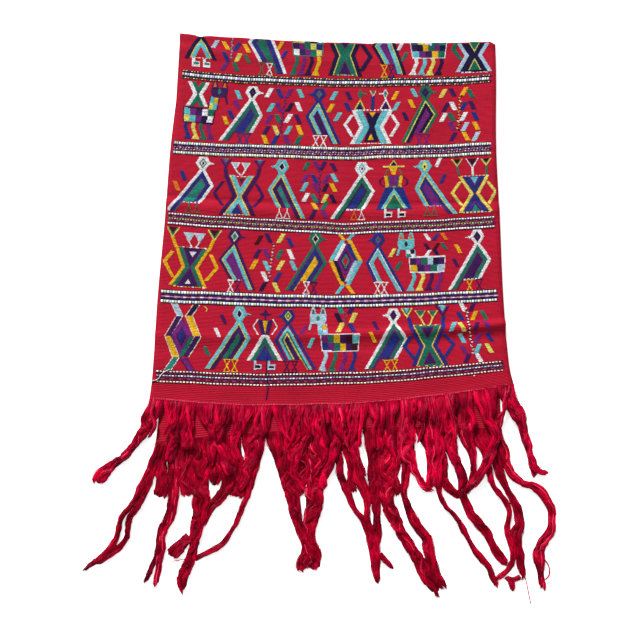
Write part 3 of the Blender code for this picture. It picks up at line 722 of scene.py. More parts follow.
def row_3(chart):
    bars(chart, ((183, 27.4, "\\", "royal"), (176.9, 38.4, "\\", "orange")), width=4.6, height=9.4)
    bird(chart, 202, 7.6, ((3.7, "white"), (3.8, "royal"), (1, "violet"), "teal"),
        ("teal", "white", "maroon"), ("olive", "olive"), 1, shoulder=12.2, corner=0.4, foot=pine_foot,
        hem="white", stride=8, inset=3.6)
    hourglass(chart, 240, 25, 45.8, 64.6, (18, 7.4, 18.4), ((4.6, "purple"), (0.8, "ground"),
        (1.6, "lemon"), (4.6, "aqua"), "ground"), lean=3)
    triangle(chart, 241.6, 27.8, 33, 2.8, "purple")
    triangle(chart, 238.2, 63.6, 54, 4.9, "royal")
    dashes(chart, 229, 253.4, 26, ("white", "lemon"))
    dashes(chart, 225, 251, 64.4, ("white", "lemon"))
    for x, foot in ((225.6, 226), (259.8, 257)):
        flower(chart, x - 0.8, 8.4, 18, 6.4, ((1.4, "purple"), (2.2, "violet"), "teal"), "purple", foot, 27,
            width=4)
    for x, foot in ((235.4, 240), (245.8, 241.6)):
        flower(chart, x - 0.6, 11.6, 20, 5.2, ((2, "white"), "sky"), "white", foot, 25, 1.8)
    stroke(chart, ((223, 31.4), (214.8, 43.2), (223.8, 56.2)), 3.6, "purple")
    stroke(chart, ((255.6, 32), (263.4, 44.8), (254.4, 56.4)), 3.6, "purple")
    bird(chart, 281.4, 8.2, ((3, "aqua"), (1.6, "lemon"), (4, "purple"), (1, "violet"), "teal"),
        ("white", "navy", "navy"), ("white", "white"), -1, shoulder=-13.4, corner=-3.8, tail=24.4,
        foot=pine_foot, tall=1.035)
    bars(chart, ((306.4, 13.6, "/", "green"), (316.6, 13, "\\", "violet"), (322.6, 13.4, "/", "purple"),
        (333.3, 14.4, "\\", "purple"), (305.1, 26.4, "/", "violet"), (314.6, 26.6, "\\", "royal"),
        (326.3, 26.6, "/", "violet"), (334.3, 25.6, "\\", "aqua"), (304.7, 34.8, "/", "aqua"),
        (315.5, 34.6, "\\", "violet"), (325.4, 35.6, "/", "navy"), (333.4, 35.6, "\\", "golden"),
        (306, 45.2, "/", "white"), (314.4, 45.8, "\\", "teal"), (325.2, 46, "/", "lemon"),
        (332.7, 45.8, "\\", "navy"), (315.2, 54.2, "\\", "golden"), (324.9, 53.6, "/", "green"),
        (313.6, 62, "/", "purple"), (324.3, 61.4, "\\", "violet")), width=4.6, height=8.4)
    twisted_stem(chart, ((319.9, 14), (319.3, 56)), ("violet", "purple"))
    bird(chart, 361.9, 9.6, ((3.7, "white"), (4.2, "green"), (1.2, "maroon"), "royal"),
        ("aqua", "white", "maroon"), ("orange", "white"), 1, shoulder=13, corner=2.2, tail=-31.6,
        foot=pine_foot, hem="white", tall=1.02, stride=7.4, inset=2.8)
    doll_3(chart, 393.6, 8)
    bird(chart, 425, 8.8, ((3.4, "aqua"), (1.5, "lemon"), (3.4, "royal"), "violet"),
        ("lemon", "lemon", "black"), ("olive", "olive"), -1, shoulder=-10.6, corner=-1.4, tail=31,
        foot=pine_foot, hem="lilac", tall=0.98, stride=7)
    bars(chart, ((438.8, 11.4, "/", "white"), (442.8, 28.6, "/", "royal")), height=9)
    hourglass(chart, 474.2, 27, 44.2, 63, (15.6, 5, 17.4), ((3.8, "lemon"), (0.6, "ground"), "royal"),
        lean=-0.4)
    triangle(chart, 474.6, 28, 37, 5, ((1.2, "violet"), "aqua"))
    triangle(chart, 474.2, 62.2, 50, 7, ((1, "violet"), (1.8, "royal"), "teal"))
    dashes(chart, 461, 489, 26.4, ("lemon", "white"))
    dashes(chart, 461, 490, 63, ("lemon", "white"))
    flower(chart, 457.8, 9.2, 17, 5.8, ((1.6, "lemon"), (0.9, "green"), "black"), "green", 459.2, 25.6, 2.2)
    flower(chart, 473, 9, 19.6, 6.8, ((1.5, "white"), (0.9, "violet"), "maroon"), "white", 473.4, 26,
        width=2.4)
    flower(chart, 487, 9.8, 17, 5.4, ((1.6, "lemon"), (0.9, "green"), "black"), "green", 487, 25.6, 2.2)
    stroke(chart, ((460.3, 32), (451.8, 42.8), (461, 55.6)), 3.6, "lemon")
    stroke(chart, ((487.4, 32.2), (495, 43), (487.4, 55)), 3.6, "lemon")


def row_4(chart):
    hourglass(chart, 191.1, 28.2, 47.8, 66.6, (18.2, 8.4, 19.2), ((3.7, "golden"), (4.2, "green"),
        (1, "violet"), "purple"), lean=2.2)
    triangle(chart, 192.6, 32.6, 37.6, 3.2, "white")
    triangle(chart, 190.2, 64, 59.4, 3, "white")
    dashes(chart, 178, 208, 28.4, ("orange", "white"))
    dashes(chart, 176, 208, 67, ("golden", "golden", "white"))
    stroke(chart, ((170.6, 18), (175.4, 28.8)), 3.8, "golden")
    stroke(chart, ((212.6, 19), (208.4, 30)), 3.8, "golden")
    triangle(chart, 170.8, 8.6, 20.6, 7.2, ((1.6, "lemon"), (1.4, "green"), "maroon"))
    triangle(chart, 213, 8.4, 20.4, 7.8, ((1.6, "lemon"), (1.4, "green"), "maroon"))
    for x, foot in ((187.6, 191.4), (198.4, 195.2)):
        flower(chart, x, 13.4, 23.6, 5.9, ((1, "white"), "sky"), "white", foot, 28.4)
    stroke(chart, ((172.6, 33), (165.2, 44), (175, 58.6)), 4, "golden")
    stroke(chart, ((210.8, 34.2), (217.8, 46.6), (208, 59.6)), 4, "golden")
    bird(chart, 233.4, 6.8, ((3.2, "purple"), (1.2, "lemon"), (3.2, "aqua"), "violet"),
        ("cream", "teal", "teal"), ("white", "purple"), 1, shoulder=-14.8, corner=-2.6, tail=24.4,
        hem="white", tall=1.06, stride=6.8, inset=1.8)
    bars(chart, ((257.6, 16.4, "/", "maroon"), (267.4, 13.4, "\\", "purple"), (279.8, 13.6, "/", "lemon"),
        (289.5, 17.2, "\\", "royal"), (257, 29.8, "/", "purple"), (266.5, 29.4, "\\", "violet"),
        (279.2, 29.6, "/", "green"), (290.4, 29, "\\", "white"), (254.5, 40.8, "/", "golden"),
        (267.1, 41.2, "\\", "aqua"), (280.6, 40.8, "/", "lemon"), (293.8, 40.4, "\\", "aqua"),
        (265.7, 52, "\\", "white"), (278.6, 52, "/", "royal"), (264.5, 62.2, "/", "navy"),
        (277.7, 62.6, "\\", "lemon")), width=4.6, height=9.6, lean=4.8)
    twisted_stem(chart, ((272.9, 18), (269.7, 57)), ("cream", "purple", "pink", "maroon"), swing=1)
    bird(chart, 314.8, 6, ((3.3, "green"), (1, "violet"), (4.4, "royal"), "golden"),
        ("cream", "navy", "navy"), ("white", "purple"), 1, shoulder=12.4, corner=0.8, tail=-28.6, tall=1.05,
        stride=7.2, inset=1)
    lozenge_4(chart, 345.6, 13.4)
    bird(chart, 377.7, 6.6, ((3.3, "royal"), (1.2, "white"), (3.4, "aqua"), "ground"),
        ("violet", "teal", "violet"), ("white", "white"), -1, shoulder=-12.2, corner=-3.4, tail=27.4,
        hem="white", tall=1.04, stride=6.6, inset=3.4)
    bars(chart, ((392, 26.8, "/", "lemon"), (398.4, 39.8, "/", "green")))
    horse_body(chart, 409.4, 444.6, 32, 46.4, (("purple", "violet", "green", "sky", "navy", "purple"),
        ("golden", "purple", "violet", "green", "sky")), "white", ("aqua", "lemon", "purple", "violet"), 65,
        1, slope=1.6)
    horse_head(chart, 406, 9.4, -1, "aqua", "orange", "maroon", (("white", "navy"), ("teal", "white")),
        31.4)
    bars(chart, ((427.4, 11.8, "\\", "white"), (436, 11.6, "/", "royal"), (427.2, 21.6, "\\", "navy"),
        (436.4, 21.4, "/", "maroon"), (427.8, 28, "/", "white"), (436.2, 27.6, "\\", "navy"),
        (444.6, 12, "\\", "orange"), (444, 21.6, "\\", "green")), height=6.8)
    bars(chart, ((458.3, 25, "\\", "golden"), (455.2, 38, "\\", "purple")))
    bird(chart, 477.6, 7, ((3.8, "white"), (4.2, "green"), (0.9, "violet"), "purple"),
        ("navy", "navy", "violet"), ("golden", "purple"), -1, shoulder=13.6, corner=2.8, tail=-30.2,
        hem="white", tall=1.03, stride=9.6, inset=2.2)


def row_5(chart):
    lozenge_5(chart)
    bars(chart, ((222.8, 20.2, "\\", "purple"), (217.3, 34, "\\", "white"), (207.3, 52.4, "\\", "green")),
        height=9.4)
    bird(chart, 238.9, 7.3, ((3.8, "aqua"), (1.2, "lemon"), (5, "purple"), "green"),
        ("white", "navy", "navy"), ("golden", "golden"), 1, shoulder=11.8, corner=-0.8, tail=-32.8,
        tall=1.12)
    doll_5(chart, 265, 8.6)
    bird(chart, 287.9, 8.8, ((3.3, "royal"), (1.2, "ground"), (2.9, "aqua"), (1.5, "green"), (1.6, "lemon"),
        "purple"), ("lemon", "green", "lemon"), ("navy", "navy"), -1, shoulder=-13.8, corner=-3.6,
        tail=28.8, tall=1.08)
    bars(chart, ((303.4, 29.6, "/", "violet"), (310.9, 42.4, "/", "aqua")), height=9.4)
    horse_body(chart, 321, 358.6, 35.2, 50, (("violet", "green", "golden", "purple", "maroon", "aqua"),
        ("royal", "violet", "green", "golden", "purple", "maroon")), "white",
        ("sky", "green", "violet", "royal"), 70.2, 1, slope=1.6)
    horse_head(chart, 318, 9.4, -1, "sky", "olive", "teal", (("sky", "golden"), ("aqua", "sky")), 35)
    bars(chart, ((338.3, 17, "\\", "navy"), (353.3, 17.4, "/", "lemon"), (340.3, 27.4, "/", "lemon"),
        (351.9, 27.6, "\\", "royal"), (351.4, 8.6, "/", "purple"), (339.9, 8.4, "\\", "teal")), width=5.2,
        height=9.6)
    twisted_stem(chart, ((345.6, 12), (344.4, 24)), ("violet", "olive"))
    bars(chart, ((375.9, 26, "\\", "purple"), (372.4, 37.4, "\\", "golden")), height=9.4)
    bird(chart, 393.7, 8.3, ((3.6, "white"), (3.8, "green"), (0.9, "violet"), "royal"),
        ("navy", "purple", "purple"), ("golden", "golden"), -1, shoulder=13.8, corner=2.2, tail=-30.6,
        tall=1.08)
    hourglass(chart, 427.6, 26.8, 46.6, 66.6, (19.4, 9, 18.6), ((4.2, "royal"), (0.6, "ground"),
        (1.3, "lemon"), "green"), lean=-1.2)
    triangle(chart, 427, 28.8, 40, 7.2, ((1, "violet"), "purple"))
    triangle(chart, 428.2, 65, 52, 7, ((1, "violet"), "purple"))
    dashes(chart, 412.6, 441.4, 26.6, ("lemon", "green"))
    dashes(chart, 416, 442, 66.8, ("lemon", "green"))
    stroke(chart, ((408.6, 17), (411.4, 28)), 4.2, "royal")
    stroke(chart, ((444, 17), (442.6, 28)), 4.2, "royal")
    triangle(chart, 407.2, 8.8, 18.8, 6, ((1.7, "lemon"), (1.3, "green"), "aqua"))
    triangle(chart, 443.4, 7, 18.4, 7.6, ((1.9, "purple"), (1.7, "violet"), "aqua"))
    for x, foot in ((420.9, 424.6), (433.3, 430)):
        flower(chart, x, 11.4, 20, 5.8, ((1.6, "lemon"), "green"), "lemon", foot, 26.4, 1.8)
    stroke(chart, ((410.6, 36.6), (403.8, 46.6), (413.4, 60)), 4.4, "royal")
    stroke(chart, ((443.6, 35.4), (452.8, 45.6), (442.4, 59.4)), 4.4, "royal")
    bars(chart, ((464, 9.6, "\\", "white"), (473.4, 9.6, "/", "purple"), (461.2, 18.4, "\\", "royal"),
        (475, 18.2, "/", "golden"), (485, 18.2, "\\", "green"), (452.8, 29, "/", "aqua"),
        (461.8, 29.4, "\\", "lemon"), (476, 29.6, "/", "purple"), (487, 29.2, "\\", "violet"),
        (461.6, 40.4, "\\", "aqua"), (477, 40.6, "/", "violet"), (489, 40.2, "\\", "royal"),
        (462.8, 51.8, "\\", "violet"), (476.4, 51.4, "/", "aqua"), (487.6, 51.4, "\\", "lemon"),
        (465.2, 60.6, "/", "purple"), (476.6, 60.4, "\\", "white")), width=4.6, height=9)
    twisted_stem(chart, ((467.4, 9.8), (471.6, 57)), ("white", "black"), swing=1)


PAINTED = (row_1, row_2, row_3, row_4, row_5)


# Stitches: raised floats of yarn, each a low pillow on the ground
PICK_PITCH = 1.6 * MM
COLUMN_STEP = 1.1 * MM
FLOAT_COLUMNS = 4
STITCH_HEIGHT = 0.75 * MM
STITCH_FOOT = 0.1 * MM
STITCH_FILL = 0.98
STITCH_CROWN = 0.62
STITCH_SHOULDER = 0.42 * MM
WIDEST_SHOULDER = 0.6
STITCH_GAP = 0.12 * MM
STITCH_SHAKE = 0.06 * MM
STITCH_HEIGHTS = (0.75, 1.15)
CHART_EDGE = 0.985
FIGURE_MARGIN = 2.0 * MM
FOLD_REACH = 6.5 * MM

Stitches = namedtuple("Stitches", "side along length depth slant height yarn")


def stitch_solids(stitches):
    """Points and faces of pillows: a base, a narrower top and the sides between."""
    half = stitches.length / 2
    count = len(half)
    deep = stitches.depth / 2
    shoulder = np.minimum(STITCH_SHOULDER, WIDEST_SHOULDER * half)
    up = surface_up(stitches.side, stitches.along)
    points = np.empty((count, 8, 3))
    for level in (0, 1):
        reach = half - level * shoulder
        width = deep * (STITCH_CROWN if level else 1.0)
        rise = CLOTH_THICK / 2 + (stitches.height if level else np.full(count, STITCH_FOOT))
        for corner, (right, down) in enumerate(((-1, -1), (1, -1), (1, 1), (-1, 1))):
            over = right * reach - stitches.slant * down
            side = stitches.side + over / (FLAT_WIDTH / 2)
            place = upper_point(side, stitches.along + down * width)
            points[:, 4 * level + corner] = place + up * rise[:, None]
    pillow = np.array(((3, 2, 1, 0), (4, 5, 6, 7), (0, 1, 5, 4), (1, 2, 6, 5), (2, 3, 7, 6), (3, 0, 4, 7)))
    faces = (8 * np.arange(count)[:, None, None] + pillow[None]).reshape(-1, 4)
    return points.reshape(-1, 3), faces


def stitched_piece(name, stitches, seed):
    """One object of many stitches, with the yarns that it uses.

    Its Stitch map holds a shade for each stitch, and 0 at the base and 1 at the crown; the yarn materials
    paint shade with it, darkest at the base."""
    points, faces = stitch_solids(stitches)
    used = sorted(set(stitches.yarn.tolist()))
    slots = np.searchsorted(used, stitches.yarn)
    materials = [brocade_yarn(YARNS[index]) for index in used]
    piece = new_piece(name, points, faces, materials, np.repeat(slots, 6))
    shade = np.random.default_rng(seed).uniform(0, 1, len(stitches.yarn))
    # Crown: 0 at the base and 1 at the top, for the painted shade along each stitch's foot
    crown = np.tile(np.repeat((0.0, 1.0), 4), len(shade))
    add_map(piece, "Stitch", np.stack((np.repeat(shade, 8), crown), axis=1))
    add_plan_map(piece, points)
    return piece


def chart_place(row, side, along):
    """Chart columns and lines of points of a row of figures."""
    share = (along / MM - row.top_along) / (row.bottom_along - row.top_along)
    lines = across(row.left_lines, row.middle_lines, row.right_lines, side)
    return mix(row.first, row.last, (side + 1) / 2), share * lines


def figure_stitches(row, painted, seed):
    """The floats of a row of figures, pick by pick, as its chart has them."""
    chance = np.random.default_rng(seed)
    first = row.top_along * MM + (FIGURE_MARGIN if row.top_along else -FOLD_REACH)
    alongs = np.arange(first, row.bottom_along * MM - FIGURE_MARGIN, PICK_PITCH)
    step = COLUMN_STEP / (FLAT_WIDTH / 2)
    sides = np.arange(-CHART_EDGE, CHART_EDGE, step)
    side, along = np.meshgrid(sides, alongs)
    chart = Chart(*chart_place(row, side, along))
    painted(chart)
    yarn = chart.yarn
    # A float begins at a change of yarn, or where a warp thread ties it down
    column = np.arange(len(sides))[None, :] + (2 * np.arange(len(alongs))[:, None])
    begins = np.ones(yarn.shape, bool)
    begins[:, 1:] = (yarn[:, 1:] != yarn[:, :-1]) | (column[:, 1:] % FLOAT_COLUMNS == 0)
    pick, start = np.nonzero(begins)
    end = np.append(start[1:], len(sides))
    end[end <= start] = len(sides)
    wanted = yarn[pick, start] > 0
    pick, start, end = pick[wanted], start[wanted], end[wanted]
    count = len(pick)
    middle = sides[start] + (end - start - 1) * step / 2
    length = (end - start) * COLUMN_STEP - STITCH_GAP
    return Stitches(
        side=middle, along=alongs[pick] + chance.normal(0, STITCH_SHAKE, count), length=length,
        depth=np.full(count, PICK_PITCH * STITCH_FILL), slant=chance.normal(0, STITCH_SHAKE, count),
        height=STITCH_HEIGHT * chance.uniform(*STITCH_HEIGHTS, count), yarn=yarn[pick, start])


def make_figures():
    return [stitched_piece(f"figures_row_{number}", figure_stitches(row, painted, number), number)
            for number, (row, painted) in enumerate(zip(FIGURE_ROWS, PAINTED), start=1)]


# Bands: lines of beads or of plain yarn across the cloth, each with its distance from the
# band's middle, its width, the pitch and slant of its beads and the yarns that take turns
BandLine = namedtuple("BandLine", "offset width pitch slant fill yarns")


def plain(offset, width, *yarns):
    """A line of plain yarn, without gaps."""
    return BandLine(offset, width, 7.5, 0.0, 1.0, yarns)


BAND_LINES = {
    "band 1": (
        plain(-8.4, 1.4, "wine", "maroon"),
        BandLine(-7.0, 1.9, 5.3, 0.5, 0.62, ("cream", "golden", "cream", "olive")),
        plain(-5.4, 1.5, "navy", "black", "navy"),
        plain(-4.0, 1.4, "maroon", "navy"),
        BandLine(-0.3, 6.2, 4.8, 0.35, 0.84, ("white", "sky", "white", "lilac", "white")),
        plain(3.7, 1.5, "navy", "black"),
        plain(5.2, 1.4, "maroon", "navy"),
        BandLine(6.9, 1.9, 5.3, 0.5, 0.62, ("cream", "golden", "olive")),
        plain(8.3, 1.3, "wine", "maroon"),
    ),
    "band 2": (
        plain(-12.9, 1.3, "navy", "olive", "maroon"),
        BandLine(-9.6, 5.6, 4.5, 0.2, 0.8, ("white", "cream", "white", "sky", "pale green")),
        plain(-6.4, 1.5, "black", "navy"),
        plain(-4.9, 1.5, "navy", "purple"),
        plain(-3.3, 1.7, "mauve", "purple"),
        BandLine(-1.4, 1.6, 5.2, 0.0, 0.62, ("pink", "white", "lilac")),
        plain(0.4, 1.5, "navy", "black"),
        BandLine(2.1, 1.6, 5.2, 0.0, 0.62, ("white", "lilac", "pink")),
        plain(4.0, 1.6, "mauve", "wine"),
        plain(5.6, 1.5, "black", "navy"),
        BandLine(9.0, 5.6, 4.5, -0.2, 0.8, ("white", "pale green", "white", "cream", "sky")),
        plain(12.3, 1.3, "navy", "maroon", "olive"),
    ),
    "band 3": (
        plain(-10.6, 1.2, "navy", "black"),
        BandLine(-9.0, 3.2, 5.0, 0.0, 0.74, ("white",)),
        plain(-7.0, 1.6, "black", "navy"),
        plain(-5.3, 1.7, "wine"),
        plain(-3.6, 1.6, "mauve", "purple"),
        plain(-2.0, 1.5, "olive", "wine"),
        BandLine(-0.2, 1.9, 4.8, 0.0, 0.6, ("pale green", "lemon", "cream")),
        plain(1.6, 1.5, "olive", "wine"),
        plain(3.2, 1.6, "mauve", "purple"),
        plain(4.9, 1.7, "wine"),
        plain(6.5, 1.5, "navy", "black"),
        BandLine(8.7, 3.6, 5.0, 0.0, 0.8, ("white",)),
        plain(11.1, 1.2, "black", "navy"),
    ),
    "band 4": (
        plain(-11.8, 1.3, "navy", "black", "maroon"),
        BandLine(-8.7, 5.2, 4.9, 0.0, 0.82, ("white", "sky", "white", "pale green")),
        plain(-5.4, 1.5, "black", "navy"),
        plain(-3.8, 1.7, "purple"),
        plain(-2.1, 1.7, "purple", "mauve"),
        plain(-0.4, 1.5, "white", "pink"),
        plain(1.2, 1.7, "purple", "mauve"),
        plain(2.9, 1.7, "purple", "navy"),
        plain(4.5, 1.5, "black", "navy"),
        BandLine(7.8, 5.2, 4.9, 0.0, 0.82, ("white", "pale green", "white", "sky")),
        plain(10.9, 1.3, "navy", "maroon", "black"),
    ),
    "band 5": (
        plain(-10.8, 1.2, "black", "maroon"),
        BandLine(-9.2, 2.7, 5.6, 0.0, 0.68, ("white", "cream")),
        plain(-7.2, 1.8, "black", "maroon"),
        plain(-5.4, 1.7, "wine"),
        plain(-3.7, 1.5, "maroon", "purple"),
        BandLine(-1.9, 2.5, 5.2, 0.0, 0.76, ("lilac", "sky", "white")),
        plain(0.0, 1.5, "navy", "maroon"),
        plain(1.7, 1.7, "wine"),
        plain(3.3, 1.5, "mauve", "navy"),
        plain(4.9, 1.6, "wine"),
        plain(6.5, 1.5, "black", "maroon"),
        BandLine(8.5, 2.8, 5.6, 0.0, 0.7, ("cream", "white")),
        plain(10.1, 1.2, "maroon", "black"),
    ),
    "hem": (
        BandLine(-3.0, 2.2, 4.4, 0.5, 0.94, ("bright red",)),
    ),
}
BAND_EDGE = 0.985
BAND_RIGHT = 0.966
# Where a band sags towards the hem, and the small wave that all of them have
Sag = namedtuple("Sag", "side depth half_width")
BAND_SAGS = {"band 2": Sag(0.10, 2.0, 0.16), "band 3": Sag(0.09, 4.2, 0.17), "band 4": Sag(0.06, 2.2, 0.2)}
NO_SAG = Sag(0.0, 0.0, 1.0)
BAND_WAVE = 0.5 * MM
WIDE_BEAD = 3.0
UNDERLAY_HEIGHT = 0.3 * MM
BEAD_HEIGHT = 0.9 * MM
# How uneven beads are: their places, and the ranges of their lengths, depths and heights
BEAD_SHAKE = 0.1 * MM
BEAD_SIDE_SHAKE = 0.03
BEAD_START = 0.4
BEAD_LENGTHS = (0.94, 1.06)
BEAD_DEPTHS = (0.92, 1.06)
BEAD_HEIGHTS = (0.85, 1.15)
# A line with more of its pitch filled than this is a plain one
BEADED_BELOW = 0.9


def band_shift(name, side, seed):
    """How far a band runs from its straight course."""
    sag = BAND_SAGS.get(name, NO_SAG)
    distance = (side - sag.side) / sag.half_width
    wave = np.sin(9 * side + seed) + 0.6 * np.sin(23 * side + 2 * seed)
    return sag.depth * MM * np.exp(-distance * distance) + BAND_WAVE * wave


def band_stitches(name, seed):
    chance = np.random.default_rng(seed)
    middle = next(line.along for line in UPPER_LINES if line.name == name) * MM
    parts = []
    for line in BAND_LINES[name]:
        step = line.pitch * MM / (FLAT_WIDTH / 2)
        side = np.arange(-BAND_EDGE + step / 2, BAND_RIGHT - step / 2, step)
        side = side + chance.uniform(0, BEAD_START * step)
        count = len(side)
        shifted = middle + line.offset * MM + band_shift(name, side, seed)
        turn = (np.arange(count) + chance.integers(0, len(line.yarns))) % len(line.yarns)
        yarn = np.array([YARNS.index(yarn) for yarn in line.yarns])[turn]
        beaded = line.fill < BEADED_BELOW
        if beaded:
            under = YARNS.index("black" if line.width > WIDE_BEAD else "maroon")
            parts.append(Stitches(
                side=side, along=shifted, length=np.full(count, line.pitch * MM),
                depth=np.full(count, line.width * MM), slant=np.zeros(count),
                height=np.full(count, UNDERLAY_HEIGHT), yarn=np.full(count, under)))
        parts.append(Stitches(
            side=side + chance.normal(0, BEAD_SIDE_SHAKE * step, count),
            along=shifted + chance.normal(0, BEAD_SHAKE, count),
            length=line.pitch * MM * line.fill * chance.uniform(*BEAD_LENGTHS, count),
            depth=line.width * MM * chance.uniform(*BEAD_DEPTHS, count),
            slant=np.full(count, line.slant * MM) + chance.normal(0, BEAD_SHAKE, count),
            height=(BEAD_HEIGHT if beaded else STITCH_HEIGHT) * chance.uniform(*BEAD_HEIGHTS, count),
            yarn=yarn))
    return Stitches(*[np.concatenate(column) for column in zip(*parts)])


def make_bands():
    return [stitched_piece(name.replace(" ", "_") + "_stitches", band_stitches(name, seed), seed)
            for seed, name in enumerate(BAND_LINES, start=20)]


def ribbed_alongs(length, ribs):
    """Rows of a ribbed stretch from its end inwards: alternate valleys and crests."""
    halves = np.arange(2 * ribs.count + 1)
    return length - RIB_MARGIN - ribs.pitch * halves / 2, np.where(halves % 2, ribs.height, 0.0)


def fine_ribs(length):
    """Rises of the rows of a stretch of fine ribs, and how far each row is along it."""
    halves = 2 * int(length / GROUND_RIB_PITCH)
    rows = np.arange(1, halves + 1)
    return length * rows / halves, np.where(rows % 2, GROUND_RIB_HEIGHT, 0.0)


def upper_rows():
    """Distances and rises of the upper layer's rows, from the hem to the fold."""
    alongs, rises = ribbed_alongs(UPPER_LENGTH, HEM_RIBS)
    plain, fine = fine_ribs(alongs[-1])
    return (np.concatenate(([UPPER_LENGTH], alongs, alongs[-1] - plain)),
            np.concatenate(([0.0], rises, fine)))


def lower_rows():
    """Distances and rises of the lower layer's rows, from the fold to its end."""
    alongs, rises = ribbed_alongs(LOWER_LENGTH, END_RIBS)
    plain = alongs[-1] * np.arange(LOWER_PLAIN_ROWS) / LOWER_PLAIN_ROWS
    return (np.concatenate((plain, alongs[::-1], [LOWER_LENGTH])),
            np.concatenate((np.zeros(LOWER_PLAIN_ROWS), rises[::-1], [0.0])))


def make_ground():
    """The woven red cloth, from the hem round the fold to its lower end.

    Its Weave map counts metres across the cloth and ribs along it."""
    sides = np.linspace(-1, 1, GROUND_COLUMNS + 1)
    along, rise = upper_rows()
    down, fall = lower_rows()
    arc = -FOLD_RADIUS * math.pi * np.arange(1, FOLD_STEPS) / FOLD_STEPS
    upper = upper_point(sides[None, :], along[:, None], rise[:, None])
    fold = upper_point(sides[None, :], arc[:, None])
    lower = lower_point(sides[None, :], down[:, None], fall[:, None])
    points = np.concatenate((upper, fold, lower)).reshape(-1, 3)
    rows = len(along) + len(arc) + len(down)
    ground = new_piece("throw_ground", points, grid_faces(rows, len(sides))[:, ::-1], [red_cotton()])
    # Half a rib a row where ribs are modelled, and by length elsewhere
    end_rows = 2 * END_RIBS.count + 2
    plain_run = np.concatenate(([0.0], -arc, down[:-end_rows]))
    plain_ribs = (len(along) - 1) / 2 + plain_run / GROUND_RIB_PITCH
    ribs = np.concatenate((np.arange(len(along) - 1) / 2, plain_ribs,
                           math.ceil(plain_ribs[-1]) + np.arange(end_rows) / 2))
    weave = np.stack(np.broadcast_arrays(sides[None, :] * FLAT_WIDTH / 2, ribs[:, None]), axis=-1)
    add_map(ground, "Weave", weave.reshape(-1, 2))
    add_ground_map(ground, len(along) + len(arc) // 2, len(sides))
    solidify = ground.modifiers.new("Thickness", "SOLIDIFY")
    solidify.thickness = CLOTH_THICK
    solidify.offset = 0.0
    solidify.use_even_offset = True
    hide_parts("throw_cloth")
    return ground


def add_ground_map(ground, upper_count, columns):
    """The map that the finish is kept on: the upper layer in its left half, the lower in its right."""
    corners = corner_points(ground)
    row, column = corners // columns, corners % columns
    face_row = np.repeat(row.reshape(-1, 4).min(axis=1), 4)
    lower = face_row >= upper_count
    rows = len(ground.data.vertices) // columns
    share = np.where(lower, (row - upper_count) / (rows - 1 - upper_count), row / upper_count)
    across_map = MAP_MARGIN + HALF_MAP_SPAN * column / (columns - 1) + 0.5 * lower
    values = np.stack((across_map, MAP_MARGIN + MAP_SPAN * share), axis=1)
    add_corner_map(ground, "OFBake", values)


# Shader groups: each builder takes the group and its inputs, and returns its results

GREY = (0.5, 0.5, 0.5, 1.0)
WHITE = (1.0, 1.0, 1.0, 1.0)


def add_node(tree, kind, settings=None, **links):
    """A node with its settings, and links or values for its named or numbered (i0, i1) inputs."""
    node = tree.nodes.new(kind)
    for label, value in (settings or {}).items():
        setattr(node, label, value)
    for label, value in links.items():
        numbered = label[0] == "i" and label[1:].isdigit()
        socket = node.inputs[int(label[1:])] if numbered else node.inputs[label.replace("_", " ")]
        if isinstance(value, bpy.types.NodeSocket):
            tree.links.new(value, socket)
        else:
            socket.default_value = value
    return node


def maths(tree, operation, first, second=0.0, third=0.0):
    node = add_node(tree, "ShaderNodeMath", {"operation": operation}, i0=first, i1=second, i2=third)
    return node.outputs["Value"]


def scaled_colour(tree, colour, factor):
    """A colour made lighter or darker."""
    scaled = add_node(tree, "ShaderNodeVectorMath", {"operation": "SCALE"}, i0=colour, Scale=factor)
    return scaled.outputs["Vector"]


def drawn_out(tree, place, scale):
    """A map with its own scale each way."""
    drawn = add_node(tree, "ShaderNodeVectorMath", {"operation": "MULTIPLY"}, i0=place, i1=scale)
    return drawn.outputs["Vector"]


def noise(tree, place, scale, detail):
    return add_node(tree, "ShaderNodeTexNoise", Vector=place, Scale=scale, Detail=detail).outputs["Fac"]


def piece_map(tree, name):
    return add_node(tree, "ShaderNodeUVMap", {"uv_map": name}).outputs["UV"]


def parts_of(tree, vector):
    return add_node(tree, "ShaderNodeSeparateXYZ", Vector=vector).outputs


def object_place(tree):
    return tree.nodes.new("ShaderNodeTexCoord").outputs["Object"]


def uneven_dye(tree, given):
    """Slow and fine changes of a dyed colour over the piece."""
    place = object_place(tree)
    clouds = maths(tree, "MULTIPLY", noise(tree, place, given["Cloud Size"], 4.0), 0.6)
    flecks = maths(tree, "MULTIPLY", noise(tree, place, given["Fleck Size"], 2.0), 0.8)
    drift = maths(tree, "SUBTRACT", maths(tree, "ADD", clouds, flecks), 0.7)
    change = maths(tree, "MAXIMUM", maths(tree, "MULTIPLY_ADD", drift, given["Amount"], 1.0), 0.1)
    return {"Colour": scaled_colour(tree, given["Colour"], change)}


